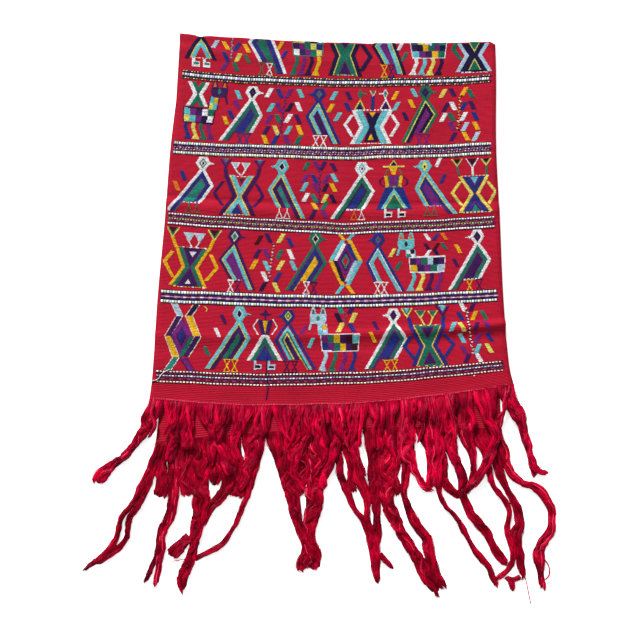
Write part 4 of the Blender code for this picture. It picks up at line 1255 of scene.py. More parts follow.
def plain_weave(tree, given):
    """Ribs of weft, the valleys between them, and the warp threads that cross them."""
    place = piece_map(tree, "Weave")
    parts = parts_of(tree, place)
    drift = noise(tree, drawn_out(tree, place, (14.0, 0.12, 1.0)), 1.0, 2.0)
    streak = noise(tree, drawn_out(tree, place, (9.0, 1.3, 1.0)), 1.0, 3.0)
    shift = maths(tree, "MULTIPLY", maths(tree, "SUBTRACT", drift, 0.5), given["Waviness"])
    count = maths(tree, "ADD", parts["Y"], shift)
    ripple = maths(tree, "COSINE", maths(tree, "MULTIPLY", count, math.tau))
    valley = maths(tree, "MULTIPLY_ADD", ripple, 0.5, 0.5)
    turn = maths(tree, "MULTIPLY", maths(tree, "FLOOR", maths(tree, "ADD", count, 0.5)), math.pi)
    warp_place = maths(tree, "DIVIDE", parts["X"], given["Warp Pitch"])
    warp = maths(tree, "SINE", maths(tree, "MULTIPLY_ADD", warp_place, math.tau, turn))
    height = maths(tree, "MULTIPLY_ADD", warp, 0.25, maths(tree, "SUBTRACT", 1.0, valley))
    return {"Height": height, "Valley": valley, "Streak": streak}


def spun_yarn(tree, given):
    """The fibres and the slanted twist of a spun yarn."""
    place = object_place(tree)
    parts = parts_of(tree, place)
    turns = maths(tree, "DIVIDE", maths(tree, "ADD", parts["X"], parts["Y"]), given["Twist Pitch"])
    wave = maths(tree, "SINE", maths(tree, "MULTIPLY", turns, math.tau))
    return {"Height": maths(tree, "MULTIPLY_ADD", wave, 0.25, noise(tree, place, given["Fuzz Size"], 3.0))}


def combed_fibres(tree, given):
    """Fine fibres that run along a yarn, from a map of metres across it and along it."""
    scale = add_node(tree, "ShaderNodeCombineXYZ", X=given["Across"], Y=given["Along"]).outputs["Vector"]
    return {"Fibre": noise(tree, drawn_out(tree, piece_map(tree, "Fibre"), scale), 1.0, 3.0)}


def laid_yarn(tree, given):
    """Light and dark of separate yarns, from a map of each one's shade and of its crown: a random shade for
    each yarn, and painted shade that darkens it towards its base.
    """
    parts = parts_of(tree, given["Map"])
    shade = maths(tree, "MULTIPLY_ADD", maths(tree, "SUBTRACT", parts["X"], 0.5), given["Spread"], 1.0)
    # Painted shade: the colour falls to Base Shade at each yarn's base and is full at its crown
    above_base = maths(tree, "SUBTRACT", 1.0, given["Base Shade"])
    painted_base_shade = maths(tree, "MULTIPLY_ADD", parts["Y"], above_base, given["Base Shade"])
    return {"Colour": scaled_colour(tree, given["Colour"], maths(tree, "MULTIPLY", shade, painted_base_shade))}


# The inputs of each group, with their plain values, and the sockets that aren't plain numbers
GROUP_INPUTS = {
    uneven_dye: {"Colour": GREY, "Cloud Size": 12.0, "Fleck Size": 420.0, "Amount": 0.2},
    plain_weave: {"Warp Pitch": 0.0014, "Waviness": 0.25},
    spun_yarn: {"Twist Pitch": 0.0012, "Fuzz Size": 900.0},
    combed_fibres: {"Across": 1500.0, "Along": 45.0},
    laid_yarn: {"Colour": GREY, "Map": (0.5, 1.0, 0.0), "Spread": 0.3, "Base Shade": 0.35},
}
SOCKET_KINDS = {"Colour": "NodeSocketColor", "Map": "NodeSocketVector"}


@cache
def shared_group(build):
    """A node group made once, with the inputs listed for its builder."""
    group = bpy.data.node_groups.new(build.__name__.replace("_", " ").title(), "ShaderNodeTree")

    def add_socket(label, in_out):
        kind = SOCKET_KINDS.get(label, "NodeSocketFloat")
        return group.interface.new_socket(label, in_out=in_out, socket_type=kind)

    for label, value in GROUP_INPUTS[build].items():
        add_socket(label, "INPUT").default_value = value
    results = build(group, group.nodes.new("NodeGroupInput").outputs)
    for label in results:
        add_socket(label, "OUTPUT")
    add_node(group, "NodeGroupOutput", **results)
    return group


def use_group(tree, build, **links):
    """Places a shared group in a material; returns its results."""
    return add_node(tree, "ShaderNodeGroup", {"node_tree": shared_group(build)}, **links).outputs


def plain_material(name, roughness):
    """A material, its tree and its shader."""
    material = bpy.data.materials.new(name)
    material.use_nodes = True
    shader = material.node_tree.nodes["Principled BSDF"]
    shader.inputs["Roughness"].default_value = roughness
    return material, material.node_tree, shader


def yarn_material(name, roughness, specular, finish):
    """A fibre material; finish returns its colour, height, bump distance and bump strength."""
    material, tree, shader = plain_material(name, roughness)
    shader.inputs["Specular IOR Level"].default_value = specular
    colour, height, distance, strength = finish(tree)
    bump = add_node(tree, "ShaderNodeBump", Height=height, Distance=distance, Strength=strength)
    tree.links.new(colour, shader.inputs["Base Color"])
    tree.links.new(bump.outputs["Normal"], shader.inputs["Normal"])
    return material


def red_cotton():
    """The ground's handspun red cotton in plain weave."""
    def finish(tree):
        weave = use_group(tree, plain_weave)
        dye = use_group(tree, uneven_dye, Colour=linear(YARN_COLOURS["ground"]), Amount=0.7)
        # Painted shade and light: the red is darker in the rib valleys and lighter on the rib crests
        painted_rib_shading = maths(tree, "MULTIPLY_ADD", maths(tree, "POWER", weave["Valley"], 1.5), -0.55, 1.16)
        streaked = maths(tree, "MULTIPLY_ADD", maths(tree, "SUBTRACT", weave["Streak"], 0.5), 0.7, 1.0)
        colour = scaled_colour(tree, dye["Colour"], maths(tree, "MULTIPLY", painted_rib_shading, streaked))
        return colour, weave["Height"], 0.45 * MM, 0.9

    return yarn_material("red cotton ground", 0.85, 0.12, finish)


@cache
def brocade_yarn(name):
    """One colour of the brocade's soft twisted yarn."""
    def finish(tree):
        dye = use_group(tree, uneven_dye, Colour=linear(YARN_COLOURS[name]), Cloud_Size=60.0,
                        Fleck_Size=650.0, Amount=0.7)
        # Painted shade: Base Shade darkens the foot of each stitch, between the picks
        laid = use_group(tree, laid_yarn, Colour=dye["Colour"], Map=piece_map(tree, "Stitch"),
                         Spread=0.5, Base_Shade=0.3)
        return laid["Colour"], use_group(tree, spun_yarn)["Height"], 0.15 * MM, 0.7

    return yarn_material(name + " brocade yarn", 0.7, 0.15, finish)


def fringe_yarn(name, colour):
    """Crimped crimson yarn of the fringes, silky where it catches the light, with painted highlights and
    painted shade in its colour.
    """
    def finish(tree):
        # A strong dye change: uneven dye together with painted highlights and painted shade in broad
        # patches
        dye = use_group(tree, uneven_dye, Colour=linear(colour), Cloud_Size=20.0, Fleck_Size=60.0,
                        Amount=2.4)
        # Painted shade: Base Shade darkens the underside of each tube
        laid = use_group(tree, laid_yarn, Colour=dye["Colour"], Map=piece_map(tree, "Strand"),
                         Spread=0.9, Base_Shade=0.1)
        # Streaks along the fibres: fibre tone and painted highlights
        fibre = use_group(tree, combed_fibres, Across=620.0, Along=16.0)["Fibre"]
        streaked = scaled_colour(tree, laid["Colour"], maths(tree, "MULTIPLY_ADD", fibre, 2.6, -0.3))
        return streaked, fibre, 0.3 * MM, 0.7

    material = yarn_material(name, 0.4, 0.35, finish)
    material.node_tree.nodes["Principled BSDF"].inputs["Specular Tint"].default_value = FRINGE_GLEAM
    return material


def make_floor():
    bpy.ops.mesh.primitive_plane_add(size=12.0, location=(0.0, 0.0, -0.2 * MM))
    floor = bpy.context.active_object
    floor.name = "floor"
    material, _, shader = plain_material("pale floor", 0.9)
    shader.inputs["Base Color"].default_value = linear(FLOOR_COLOUR)
    shader.inputs["Emission Color"].default_value = WHITE
    shader.inputs["Emission Strength"].default_value = FLOOR_GLOW
    floor.data.materials.append(material)


def make_lights():
    """A wide soft light from beyond the fold, and an even light all round."""
    light = bpy.data.lights.new("soft key light", "SUN")
    light.angle = math.radians(KEY_SOFTNESS)
    light.energy = KEY_STRENGTH
    lamp = bpy.data.objects.new("soft key light", light)
    lamp.rotation_euler = (-Vector(KEY_FROM)).to_track_quat("-Z", "Y").to_euler()
    bpy.context.scene.collection.objects.link(lamp)
    world = bpy.data.worlds.new("studio")
    world.use_nodes = True
    background = world.node_tree.nodes["Background"]
    background.inputs["Color"].default_value = WHITE
    background.inputs["Strength"].default_value = FILL_STRENGTH
    bpy.context.scene.world = world
    bpy.context.scene.view_settings.view_transform = "Standard"


def make_camera():
    """The camera of the photograph, over the lower end and tilted towards the fold."""
    camera = bpy.data.cameras.new("camera")
    camera.lens = CAMERA_LENS
    camera.sensor_width = CAMERA_SENSOR
    holder = bpy.data.objects.new("camera", camera)
    aim = Vector((-CENTRE_X, -CENTRE_Y, SEEN_LEVEL))
    holder.location = Vector(CAMERA_PLACE) + aim
    holder.rotation_euler = (aim - holder.location).to_track_quat("-Z", "Y").to_euler()
    bpy.context.scene.collection.objects.link(holder)
    bpy.context.scene.camera = holder


# Fringe yarns: each lock is an opaque body, the tresses that cross on it, and fine strands
# that lie on every tress
Lock = namedtuple("Lock", "at places level drop", defaults=(0, 0))
LOCK_START = 4.3 * MM
YARN_STEP = 6 * MM
LOCK_HEIGHT = 5.2 * MM
LOCK_TIP_HEIGHT = 2.4 * MM
LOCK_SPREAD = 0.9 * MM
DEEPEST_SWELL = 0.2
RISE_SHARE = 0.15
TAPER_FROM = 0.6
DROP_LENGTH = 46 * MM
TURN_REACH = 4 * MM
TIP_REACH = 5 * MM
TIP_CLOSE = 0.06
# Where the yarns leave the cloth
ROOT_INSET = 1.6 * MM
ROOT_RISE = 1.9 * MM
GATHER_LENGTH = 32 * MM
RAISE_LENGTH = 10 * MM
# Shares of a lock's width, height and length that its body and its tresses take up
BODY_SHARE = 0.86
BODY_END = 0.97
BODY_LEVEL = 0.3
BODY_HALF_HEIGHT = 0.28
BODY_SIDES = 8
TRESS_WIDTH = 5 * MM
TRESS_OVERLAP = 1.25
TRESS_ROOT_OVERLAP = 1.2
TRESS_SHORTEST = 0.92
TRESS_LEVEL = 0.34
TRESS_LAYERS = 0.42
TRESS_HALF_HEIGHT = 0.3
TRESS_ROOT_FLATNESS = 0.35
TRESS_SIDES = 6
TRESS_SHADES = (0.0, 0.9)
STRAND_SPACING = 1.25 * MM
STRAND_RADIUS = 0.52 * MM
STRAND_LIFT = 0.2 * STRAND_RADIUS
STRAND_SIDES = 3
STRAND_RADII = (0.7, 1.1)
STRAND_SHADING = 0.25
STRAND_SHADES = (-0.1, 1.3)
# How far strands lie over a tress from its middle, in half widths, and their least rise
STRAND_REACH = 0.95
STRAND_LIMIT = 1.05
LOWEST_RISE = 0.02
PALE_SHARE = 0.02

# Slow waves along the yarns: how high, as a length or a share, and how long
Wave = namedtuple("Wave", "height length")
WAVE_PACES = (0.75, 1.3)
OVERTONE = 0.6
OVERTONE_PACE = 1.73
WAVE_PEAK = 1.4
LOCK_WAVE = Wave(1.1 * MM, 52 * MM)
LOCK_WAVE_STEPS = 60
TRESS_CROSSING = Wave(0.8, 54 * MM)
TRESS_SWAY = Wave(0.5 * MM, 24 * MM)
TRESS_LAYERING = Wave(0.5, 40 * MM)
STRAND_CROSSING = Wave(0.2, 40 * MM)
STRAND_SWAY = Wave(0.25 * MM, 18 * MM)

# A lock's sizes are in millimetres. Its places follow its middle from the root to the tip,
# each with x and y in the frame in which the cloth was measured, and the lock's width
# there. Most were read by eye in the photo, in pixels, and turned into millimetres by a
# scratch script. A lock without a root's distance, at, begins inside another lock. From
# drop on, measured along it, a lock comes down to the surface

# Upper fringe, from left to right: at is the root's distance from the hem's left end
UPPER_LOCKS = (
    Lock(9, ((-276, -158, 26), (-280, -173, 24), (-285, -188, 19), (-292, -200, 15), (-298, -209, 12),
        (-308, -223, 12), (-320, -236, 12), (-334, -246, 14), (-345, -256, 19), (-352, -266, 24),
        (-356, -276, 17)), drop=26),
    Lock(39, ((-239, -159, 23), (-234, -181, 20), (-236, -206, 18), (-240, -229, 15), (-241, -242, 10))),
    Lock(62, ((-217, -159, 20), (-216, -181, 20), (-216, -200, 21), (-214, -218, 21))),
    Lock(91, ((-188, -160, 17), (-181, -174, 18), (-176, -190, 13), (-173, -209, 11), (-174, -232, 10),
        (-174, -249, 6))),
    Lock(124, ((-160, -166, 30), (-165, -183, 20), (-166, -200, 15), (-162, -216, 16), (-152, -234, 18),
        (-145, -247, 16))),
    Lock(156, ((-124, -156, 21), (-127, -171, 18), (-133, -188, 15), (-139, -204, 13), (-137, -223, 11),
        (-132, -239, 8))),
    Lock(186, ((-95, -165, 28), (-97, -178, 25), (-99, -193, 23), (-104, -213, 21), (-110, -232, 21),
        (-116, -252, 21), (-125, -272, 19), (-132, -284, 16))),
    Lock(218, ((-62, -160, 18), (-59, -174, 15), (-57, -191, 13), (-52, -208, 12), (-47, -223, 11),
        (-45, -240, 11))),
    Lock(233, ((-47, -159, 15), (-46, -176, 13), (-44, -194, 11), (-39, -216, 10))),
    Lock(258, ((-23, -159, 29), (-23, -178, 26), (-26, -198, 21), (-32, -218, 18), (-39, -236, 14),
        (-43, -252, 13), (-38, -267, 12), (-30, -277, 13), (-23, -284, 8))),
    Lock(288, ((7, -164, 23), (3, -180, 23), (2, -200, 21), (3, -219, 18), (6, -236, 13), (-2, -252, 11),
        (-10, -263, 8))),
    Lock(318, ((38, -159, 21), (34, -178, 18), (29, -198, 15), (25, -218, 15), (21, -236, 13),
        (13, -254, 13), (6, -270, 11), (7, -286, 14))),
    Lock(344, ((62, -164, 21), (59, -176, 19), (56, -190, 15), (54, -209, 13), (58, -229, 11),
        (64, -247, 11), (71, -263, 10))),
    Lock(374, ((94, -163, 22), (95, -174, 19), (94, -186, 16), (96, -203, 13), (97, -221, 8))),
    Lock(397, ((115, -153, 15), (116, -170, 13), (115, -191, 13), (115, -211, 13), (119, -232, 11))),
    Lock(425, ((144, -151, 26), (143, -173, 24), (141, -194, 28), (141, -216, 27), (142, -234, 24),
        (148, -249, 14), (156, -262, 10), (162, -275, 10), (168, -284, 10), (177, -289, 8))),
    Lock(452, ((172, -151, 21), (174, -170, 18), (176, -191, 16), (178, -213, 15), (179, -234, 15),
        (178, -254, 14), (177, -272, 13), (174, -286, 11))),
    Lock(474, ((193, -148, 21), (193, -166, 18), (193, -186, 16), (194, -206, 15), (194, -226, 15),
        (190, -246, 14), (187, -265, 14), (185, -284, 13))),
    Lock(494, ((213, -146, 25), (213, -166, 23), (213, -186, 21), (212, -206, 19), (214, -223, 16),
        (219, -241, 14), (225, -255, 13), (228, -272, 16), (228, -286, 13))),
    Lock(521, ((240, -142, 21), (240, -163, 20), (239, -183, 16), (242, -201, 13), (247, -218, 11),
        (247, -239, 8), (246, -258, 8), (242, -275, 10))),
    Lock(541, ((264, -141, 13), (268, -156, 13), (272, -171, 15), (279, -186, 15), (285, -201, 13),
        (280, -218, 14), (272, -234, 15), (264, -250, 15), (255, -265, 14), (244, -278, 13),
        (233, -288, 10)), level=3),
    Lock(558, ((279, -134, 15), (281, -149, 11), (281, -164, 8))),
    Lock(584, ((309, -134, 25), (318, -151, 26), (324, -166, 23), (329, -180, 17), (332, -194, 14),
        (335, -209, 13), (339, -226, 11), (342, -241, 12), (344, -254, 11), (343, -267, 6)), drop=40),
)

# Lower fringe, from left to right: at is the root's distance from that end's left end
LOWER_LOCKS = (
    Lock(3, ((-268, -226, 10), (-272, -242, 10), (-277, -262, 10), (-287, -283, 10), (-292, -299, 10),
        (-303, -315, 9), (-314, -330, 7), (-318, -348, 7), (-321, -363, 9), (-329, -379, 11),
        (-342, -393, 9), (-356, -402, 8), (-368, -410, 5))),
    Lock(8, ((-263, -226, 10), (-266, -242, 10), (-270, -263, 10), (-278, -286, 10), (-285, -304, 10),
        (-294, -319, 9), (-302, -332, 9), (-303, -348, 8), (-305, -362, 8), (-312, -374, 8),
        (-326, -386, 9), (-339, -396, 8), (-351, -404, 6))),
    Lock(14, ((-256, -231, 16), (-254, -255, 18), (-254, -278, 20), (-256, -296, 26))),
    Lock(24, ((-242, -226, 10), (-240, -255, 8), (-238, -280, 9), (-238, -300, 9), (-239, -319, 9),
        (-244, -335, 9), (-252, -349, 8), (-254, -363, 7), (-253, -377, 8), (-257, -391, 7),
        (-263, -407, 7), (-267, -420, 6), (-273, -433, 5))),
    Lock(34, ((-232, -226, 10), (-231, -255, 9), (-230, -280, 10), (-230, -300, 9), (-232, -319, 9),
        (-236, -334, 9), (-244, -348, 8), (-248, -363, 7), (-246, -377, 9), (-251, -394, 9),
        (-252, -408, 9), (-254, -424, 8), (-255, -437, 9))),
    Lock(50, ((-215, -226, 22), (-215, -249, 24), (-214, -272, 24), (-211, -294, 19))),
    Lock(71, ((-194, -229, 29), (-192, -255, 29), (-190, -288, 28), (-189, -310, 29), (-191, -327, 25),
        (-194, -345, 20), (-197, -363, 17), (-199, -379, 14), (-202, -393, 15), (-207, -405, 16),
        (-212, -417, 19), (-214, -430, 16), (-212, -445, 6))),
    Lock(90, ((-175, -222, 19), (-171, -242, 22), (-168, -262, 20), (-169, -277, 12))),
    Lock(106, ((-157, -226, 23), (-153, -246, 23), (-148, -265, 22), (-149, -281, 22), (-159, -298, 17),
        (-171, -312, 14), (-179, -326, 11), (-186, -342, 8))),
    Lock(129, ((-136, -223, 19), (-132, -242, 19), (-132, -262, 22), (-132, -280, 26), (-134, -296, 26))),
    Lock(148, ((-116, -219, 13), (-112, -247, 13), (-113, -272, 12), (-115, -292, 9), (-122, -312, 8),
        (-128, -326, 7), (-132, -338, 7), (-140, -352, 6), (-148, -365, 7), (-158, -376, 8),
        (-172, -383, 8), (-183, -388, 8), (-192, -393, 8), (-202, -398, 9))),
    Lock(169, ((-95, -214, 11), (-100, -234, 11), (-104, -252, 11), (-109, -272, 10), (-113, -289, 6))),
    Lock(187, ((-76, -213, 13), (-69, -232, 13), (-64, -250, 12), (-58, -270, 11), (-53, -288, 10))),
    Lock(206, ((-63, -216, 19), (-57, -247, 24), (-50, -275, 23), (-44, -299, 23), (-40, -318, 19),
        (-36, -337, 16), (-28, -354, 16), (-22, -371, 14), (-24, -387, 13), (-26, -402, 22),
        (-26, -414, 22))),
    Lock(234, ((-32, -216, 27), (-30, -239, 28), (-31, -260, 27), (-34, -278, 23), (-37, -293, 17))),
    Lock(268, ((-2, -216, 36), (-2, -242, 34), (-6, -272, 30), (-9, -299, 30), (-11, -319, 26),
        (-14, -337, 24), (-18, -354, 20), (-16, -371, 19), (-10, -384, 23), (-10, -401, 23),
        (-10, -414, 22))),
    Lock(287, ((23, -213, 16), (20, -229, 13), (18, -246, 10))),
    Lock(298, ((29, -219, 13), (31, -241, 12), (33, -262, 11), (41, -283, 14), (47, -299, 9), (52, -312, 8),
        (61, -325, 8), (70, -338, 10), (76, -354, 10), (80, -371, 10), (83, -390, 11), (86, -408, 11),
        (91, -436, 6))),
    Lock(312, ((43, -216, 16), (47, -236, 13), (49, -255, 9), (50, -272, 13), (53, -289, 16))),
    Lock(322, ((55, -216, 13), (56, -239, 14), (61, -263, 19), (70, -284, 19), (76, -302, 14),
        (75, -316, 8), (74, -329, 9), (78, -345, 11), (84, -362, 13), (87, -379, 14), (88, -398, 12),
        (89, -416, 9), (91, -434, 6))),
    Lock(350, ((82, -216, 16), (85, -242, 16), (86, -268, 19), (88, -291, 19), (89, -308, 14),
        (90, -323, 11), (90, -338, 13), (90, -356, 13), (89, -374, 13))),
    Lock(372, ((107, -216, 29), (106, -242, 32), (106, -268, 32), (106, -291, 26), (108, -308, 22),
        (114, -324, 21), (122, -342, 18), (132, -360, 16), (142, -377, 17), (152, -393, 19),
        (160, -408, 20), (168, -424, 20), (177, -436, 20), (187, -446, 16))),
    Lock(389, ((123, -213, 17), (123, -236, 18), (122, -252, 15), (119, -264, 9), (121, -278, 15),
        (125, -293, 15))),
    Lock(405, ((138, -213, 19), (138, -239, 16), (138, -258, 13), (136, -275, 12), (134, -291, 10),
        (137, -307, 10), (143, -323, 13), (150, -338, 15), (160, -352, 17), (168, -363, 17),
        (170, -379, 17), (174, -394, 17), (178, -410, 17), (183, -424, 16), (191, -439, 12))),
    Lock(438, ((176, -213, 15), (184, -234, 15), (188, -255, 13), (189, -275, 10), (191, -294, 7),
        (200, -312, 6), (210, -324, 6), (220, -337, 7), (227, -351, 8), (235, -367, 7), (242, -380, 8),
        (252, -394, 10), (262, -405, 10), (267, -416, 8), (271, -427, 10), (277, -437, 9))),
    Lock(455, ((191, -211, 18), (195, -232, 18), (198, -252, 16), (198, -268, 14), (204, -281, 14),
        (214, -291, 12), (225, -298, 11))),
    Lock(474, ((210, -214, 18), (215, -232, 15), (222, -250, 12), (228, -272, 15), (228, -292, 13),
        (232, -308, 13), (239, -324, 15), (250, -338, 15), (261, -352, 14), (269, -368, 13),
        (277, -384, 13), (287, -398, 13), (293, -408, 9))),
    Lock(504, ((238, -211, 11), (244, -226, 9), (247, -246, 8), (246, -263, 8), (240, -278, 10),
        (231, -290, 11))),
    Lock(520, ((258, -206, 15), (266, -224, 13), (270, -242, 13), (272, -260, 10), (276, -278, 7),
        (285, -291, 9), (295, -304, 8), (300, -319, 7), (298, -335, 7), (296, -351, 10), (300, -370, 11),
        (303, -385, 9), (301, -399, 8), (294, -411, 8), (283, -420, 8), (274, -426, 6))),
    Lock(538, ((272, -203, 15), (281, -223, 15), (285, -242, 16), (289, -262, 14), (297, -281, 11),
        (305, -297, 10), (311, -312, 12), (315, -327, 16), (316, -342, 17), (309, -357, 20),
        (308, -373, 18), (312, -388, 15), (314, -404, 12), (316, -414, 11), (315, -425, 9))),
    Lock(553, ((295, -216, 19), (299, -236, 16), (303, -250, 14), (311, -266, 13), (324, -275, 10),
        (338, -279, 11), (351, -288, 16), (362, -304, 16), (368, -321, 12), (367, -337, 12),
        (364, -351, 15), (355, -363, 15), (348, -375, 16), (343, -388, 19), (343, -402, 15),
        (344, -416, 10), (345, -430, 11), (345, -443, 9))),
    Lock(None, ((-206, -360, 16), (-218, -374, 20), (-232, -388, 20))),
    Lock(None, ((94, -387, 9), (103, -398, 9), (112, -408, 4))),
    Lock(None, ((312, -422, 8), (300, -427, 8), (291, -425, 6))),
    Lock(None, ((297, -425, 11), (299, -440, 4))),
)

# Short ends that leave the big locks
UPPER_SPURS = (
    Lock(None, ((342, -249, 10), (354, -258, 9), (363, -259, 8)), level=0.5),
    Lock(None, ((-215, -202, 19), (-215, -212, 21), (-215, -219, 22)), level=4.5),
    Lock(None, ((-153, -240, 16), (-149, -252, 15), (-145, -261, 9)), level=4),
    Lock(None, ((172, -150, 12), (168, -160, 17), (161, -172, 13)), level=7),
)


def end_place(lines, at):
    """The place on a cloth's end at a distance in millimetres from its left end."""
    end = lines[-1]
    at = np.asarray(at, float)
    return on_surface(lines, 2 * at / (end.right_x - end.left_x) - 1, np.full_like(at, end.along * MM))


def slow_wave(chance, wave, distance, count):
    """A smooth random wave along each yarn."""
    phase = chance.uniform(0, math.tau, (count, 1))
    pace = chance.uniform(*WAVE_PACES, (count, 1))
    other = chance.uniform(0, math.tau, (count, 1))
    turn = math.tau * distance * pace
    tone = np.sin(turn / wave.length + phase)
    overtone = np.sin(turn * OVERTONE_PACE / wave.length + other)
    return wave.height * ((tone + OVERTONE * overtone) / WAVE_PEAK)


def frames_along(routes):
    """Directions beside and above each point of routes of (yarn, step, xyz)."""
    ahead = np.gradient(routes, axis=1)
    ahead /= np.linalg.norm(ahead, axis=-1, keepdims=True)
    beside = np.cross(ahead, np.array((0.0, 0.0, 1.0)))
    beside /= np.linalg.norm(beside, axis=-1, keepdims=True)
    return beside, np.cross(beside, ahead)


class YarnMesh:
    """Tubes of yarn gathered into one mesh, with their maps and materials."""

    def __init__(self):
        self.points, self.faces, self.strand, self.fibre, self.slots = [], [], [], [], []
        self.count = 0

    def add(self, routes, half_width, half_height, sides, shade, slot, chance):
        """Adds a tube along each route, wider than high, that closes at its tip."""
        tubes, steps, _ = routes.shape
        shape_of_all = (tubes, steps, sides)
        beside, above = frames_along(routes)
        close = np.ones(steps)
        close[-1] = TIP_CLOSE
        angle = math.tau * np.arange(sides) / sides - math.pi / 2
        wide = (half_width * close)[:, :, None, None] * np.cos(angle)[:, None]
        high = (half_height * close)[:, :, None, None] * np.sin(angle)[:, None]
        points = routes[:, :, None] + beside[:, :, None] * wide + above[:, :, None] * high
        ring = np.arange(sides)
        following = (ring + 1) % sides
        wall = np.stack((ring, following, following + sides, ring + sides), axis=1)
        walls = (np.arange(steps - 1)[:, None, None] * sides + wall[None]).reshape(-1, 4)
        faces = (np.arange(tubes)[:, None, None] * steps * sides + walls[None]).reshape(-1, 4)
        step_lengths = np.linalg.norm(np.diff(routes, axis=1), axis=-1)
        run = np.concatenate((np.zeros((tubes, 1)), np.cumsum(step_lengths, axis=1)), axis=1)
        around = half_width.mean() * (angle + math.pi / 2)
        start = chance.uniform(0, 1.0, (tubes, 1, 1))

        def pairs(first, second):
            both = [np.broadcast_to(values, shape_of_all) for values in (first, second)]
            return np.stack(both, axis=-1).reshape(-1, 2)

        self.points.append(points.reshape(-1, 3))
        self.faces.append(faces + self.count)
        # Strand map: each tube's shade, and its crown, 0 underneath and 1 on top, from which the materials
        # paint shade on the undersides
        self.strand.append(pairs(shade[:, None, None], 0.5 + 0.5 * np.sin(angle)))
        self.fibre.append(pairs(around + start, run[:, :, None] + start))
        self.slots.append(np.repeat(slot, (steps - 1) * sides))
        self.count += tubes * steps * sides

    def piece(self, name, materials):
        points = np.concatenate(self.points)
        piece = new_piece(name, points, np.concatenate(self.faces), materials, np.concatenate(self.slots))
        add_map(piece, "Strand", np.concatenate(self.strand))
        add_map(piece, "Fibre", np.concatenate(self.fibre))
        add_plan_map(piece, points)
        return piece


class LockForm:
    """A lock's course; roots are the ends of its stretch of the cloth's end, if any."""

    def __init__(self, lock, lines, level, roots, chance):
        self.lock, self.lines, self.level, self.roots = lock, lines, level, roots
        places = np.array(lock.places, float) * MM - np.array((CENTRE_X, CENTRE_Y, 0.0))
        if lock.at is not None:
            x, y = end_place(lines, lock.at)
            places = np.vstack(((x, y - LOCK_START, places[0, 2]), places))
        ahead = places[-1, :2] - places[-2, :2]
        places[-1, :2] += TIP_REACH * ahead / np.linalg.norm(ahead)
        steps = np.linalg.norm(np.diff(places[:, :2], axis=0), axis=1)
        self.distances, self.places = np.concatenate(([0.0], np.cumsum(steps))), places
        self.length = self.distances[-1]
        self.steps = max(4, int(round(self.length / YARN_STEP))) + 1
        self.tresses = max(2, int(round(places[:, 2].mean() / TRESS_WIDTH)))
        self.root_half = (roots[1] - roots[0]) * MM / 2 if roots else places[0, 2] / 2
        self.wave_at = np.linspace(0, self.length, LOCK_WAVE_STEPS)
        self.wave = slow_wave(chance, LOCK_WAVE, self.wave_at[None], 1)[0]

    def middle(self, distance):
        return [along_curve(self.distances, self.places[:, axis], distance) for axis in (0, 1)]

    def form(self, distance):
        """A lock's middle, its lean, half its width, its base and its height along it."""
        x, y = self.middle(distance)
        before = self.middle(np.clip(distance - TURN_REACH, 0, self.length))
        after = self.middle(np.clip(distance + TURN_REACH, 0, self.length))
        lean = np.arctan2(after[0] - before[0], -(after[1] - before[1]))
        half = np.interp(distance, self.distances, self.places[:, 2]) / 2 + LOCK_SPREAD
        share = distance / self.length
        height = mix(LOCK_HEIGHT, LOCK_TIP_HEIGHT, smooth_step((share - TAPER_FROM) / (1 - TAPER_FROM)))
        base = self.level + self.lock.level * MM * (smooth_step(share / RISE_SHARE) if self.roots else 1.0)
        if self.lock.drop:
            base = mix(base, 0.0, smooth_step((distance - self.lock.drop * MM) / DROP_LENGTH))
        swell = np.interp(distance, self.wave_at, self.wave)
        return x, y, lean, half, base + np.maximum(swell, -DEEPEST_SWELL * height), height

    def gather(self, x, y, z, distance, root_shares):
        """Brings the yarns' beginnings to their own places at the cloth's end."""
        if not self.roots:
            return np.stack((x, y, z), axis=-1)
        root_x, root_y = end_place(self.lines, mix(*self.roots, root_shares))
        gathered = smooth_step(distance / GATHER_LENGTH)
        return np.stack((mix(root_x, x, gathered), mix(root_y + ROOT_INSET - distance, y, gathered),
                         mix(self.level + ROOT_RISE, z, smooth_step(distance / RAISE_LENGTH))), axis=-1)


def lay_body(mesh, form, chance):
    """The opaque body of a lock, below its tresses, at the darkest shade: painted shade where it shows
    between them.
    """
    distance = np.linspace(0, BODY_END * form.length, form.steps)[None]
    x, y, _, half, base, height = form.form(distance)
    body = form.gather(x, y, base + BODY_LEVEL * height, distance, np.array([[0.5]]))
    body_half = mix(form.root_half, half * BODY_SHARE, smooth_step(distance / GATHER_LENGTH))
    # Shade 0, the darkest: painted shade between the tresses
    mesh.add(body, body_half, BODY_HALF_HEIGHT * height, BODY_SIDES, np.array([0.0]), np.array([0]), chance)


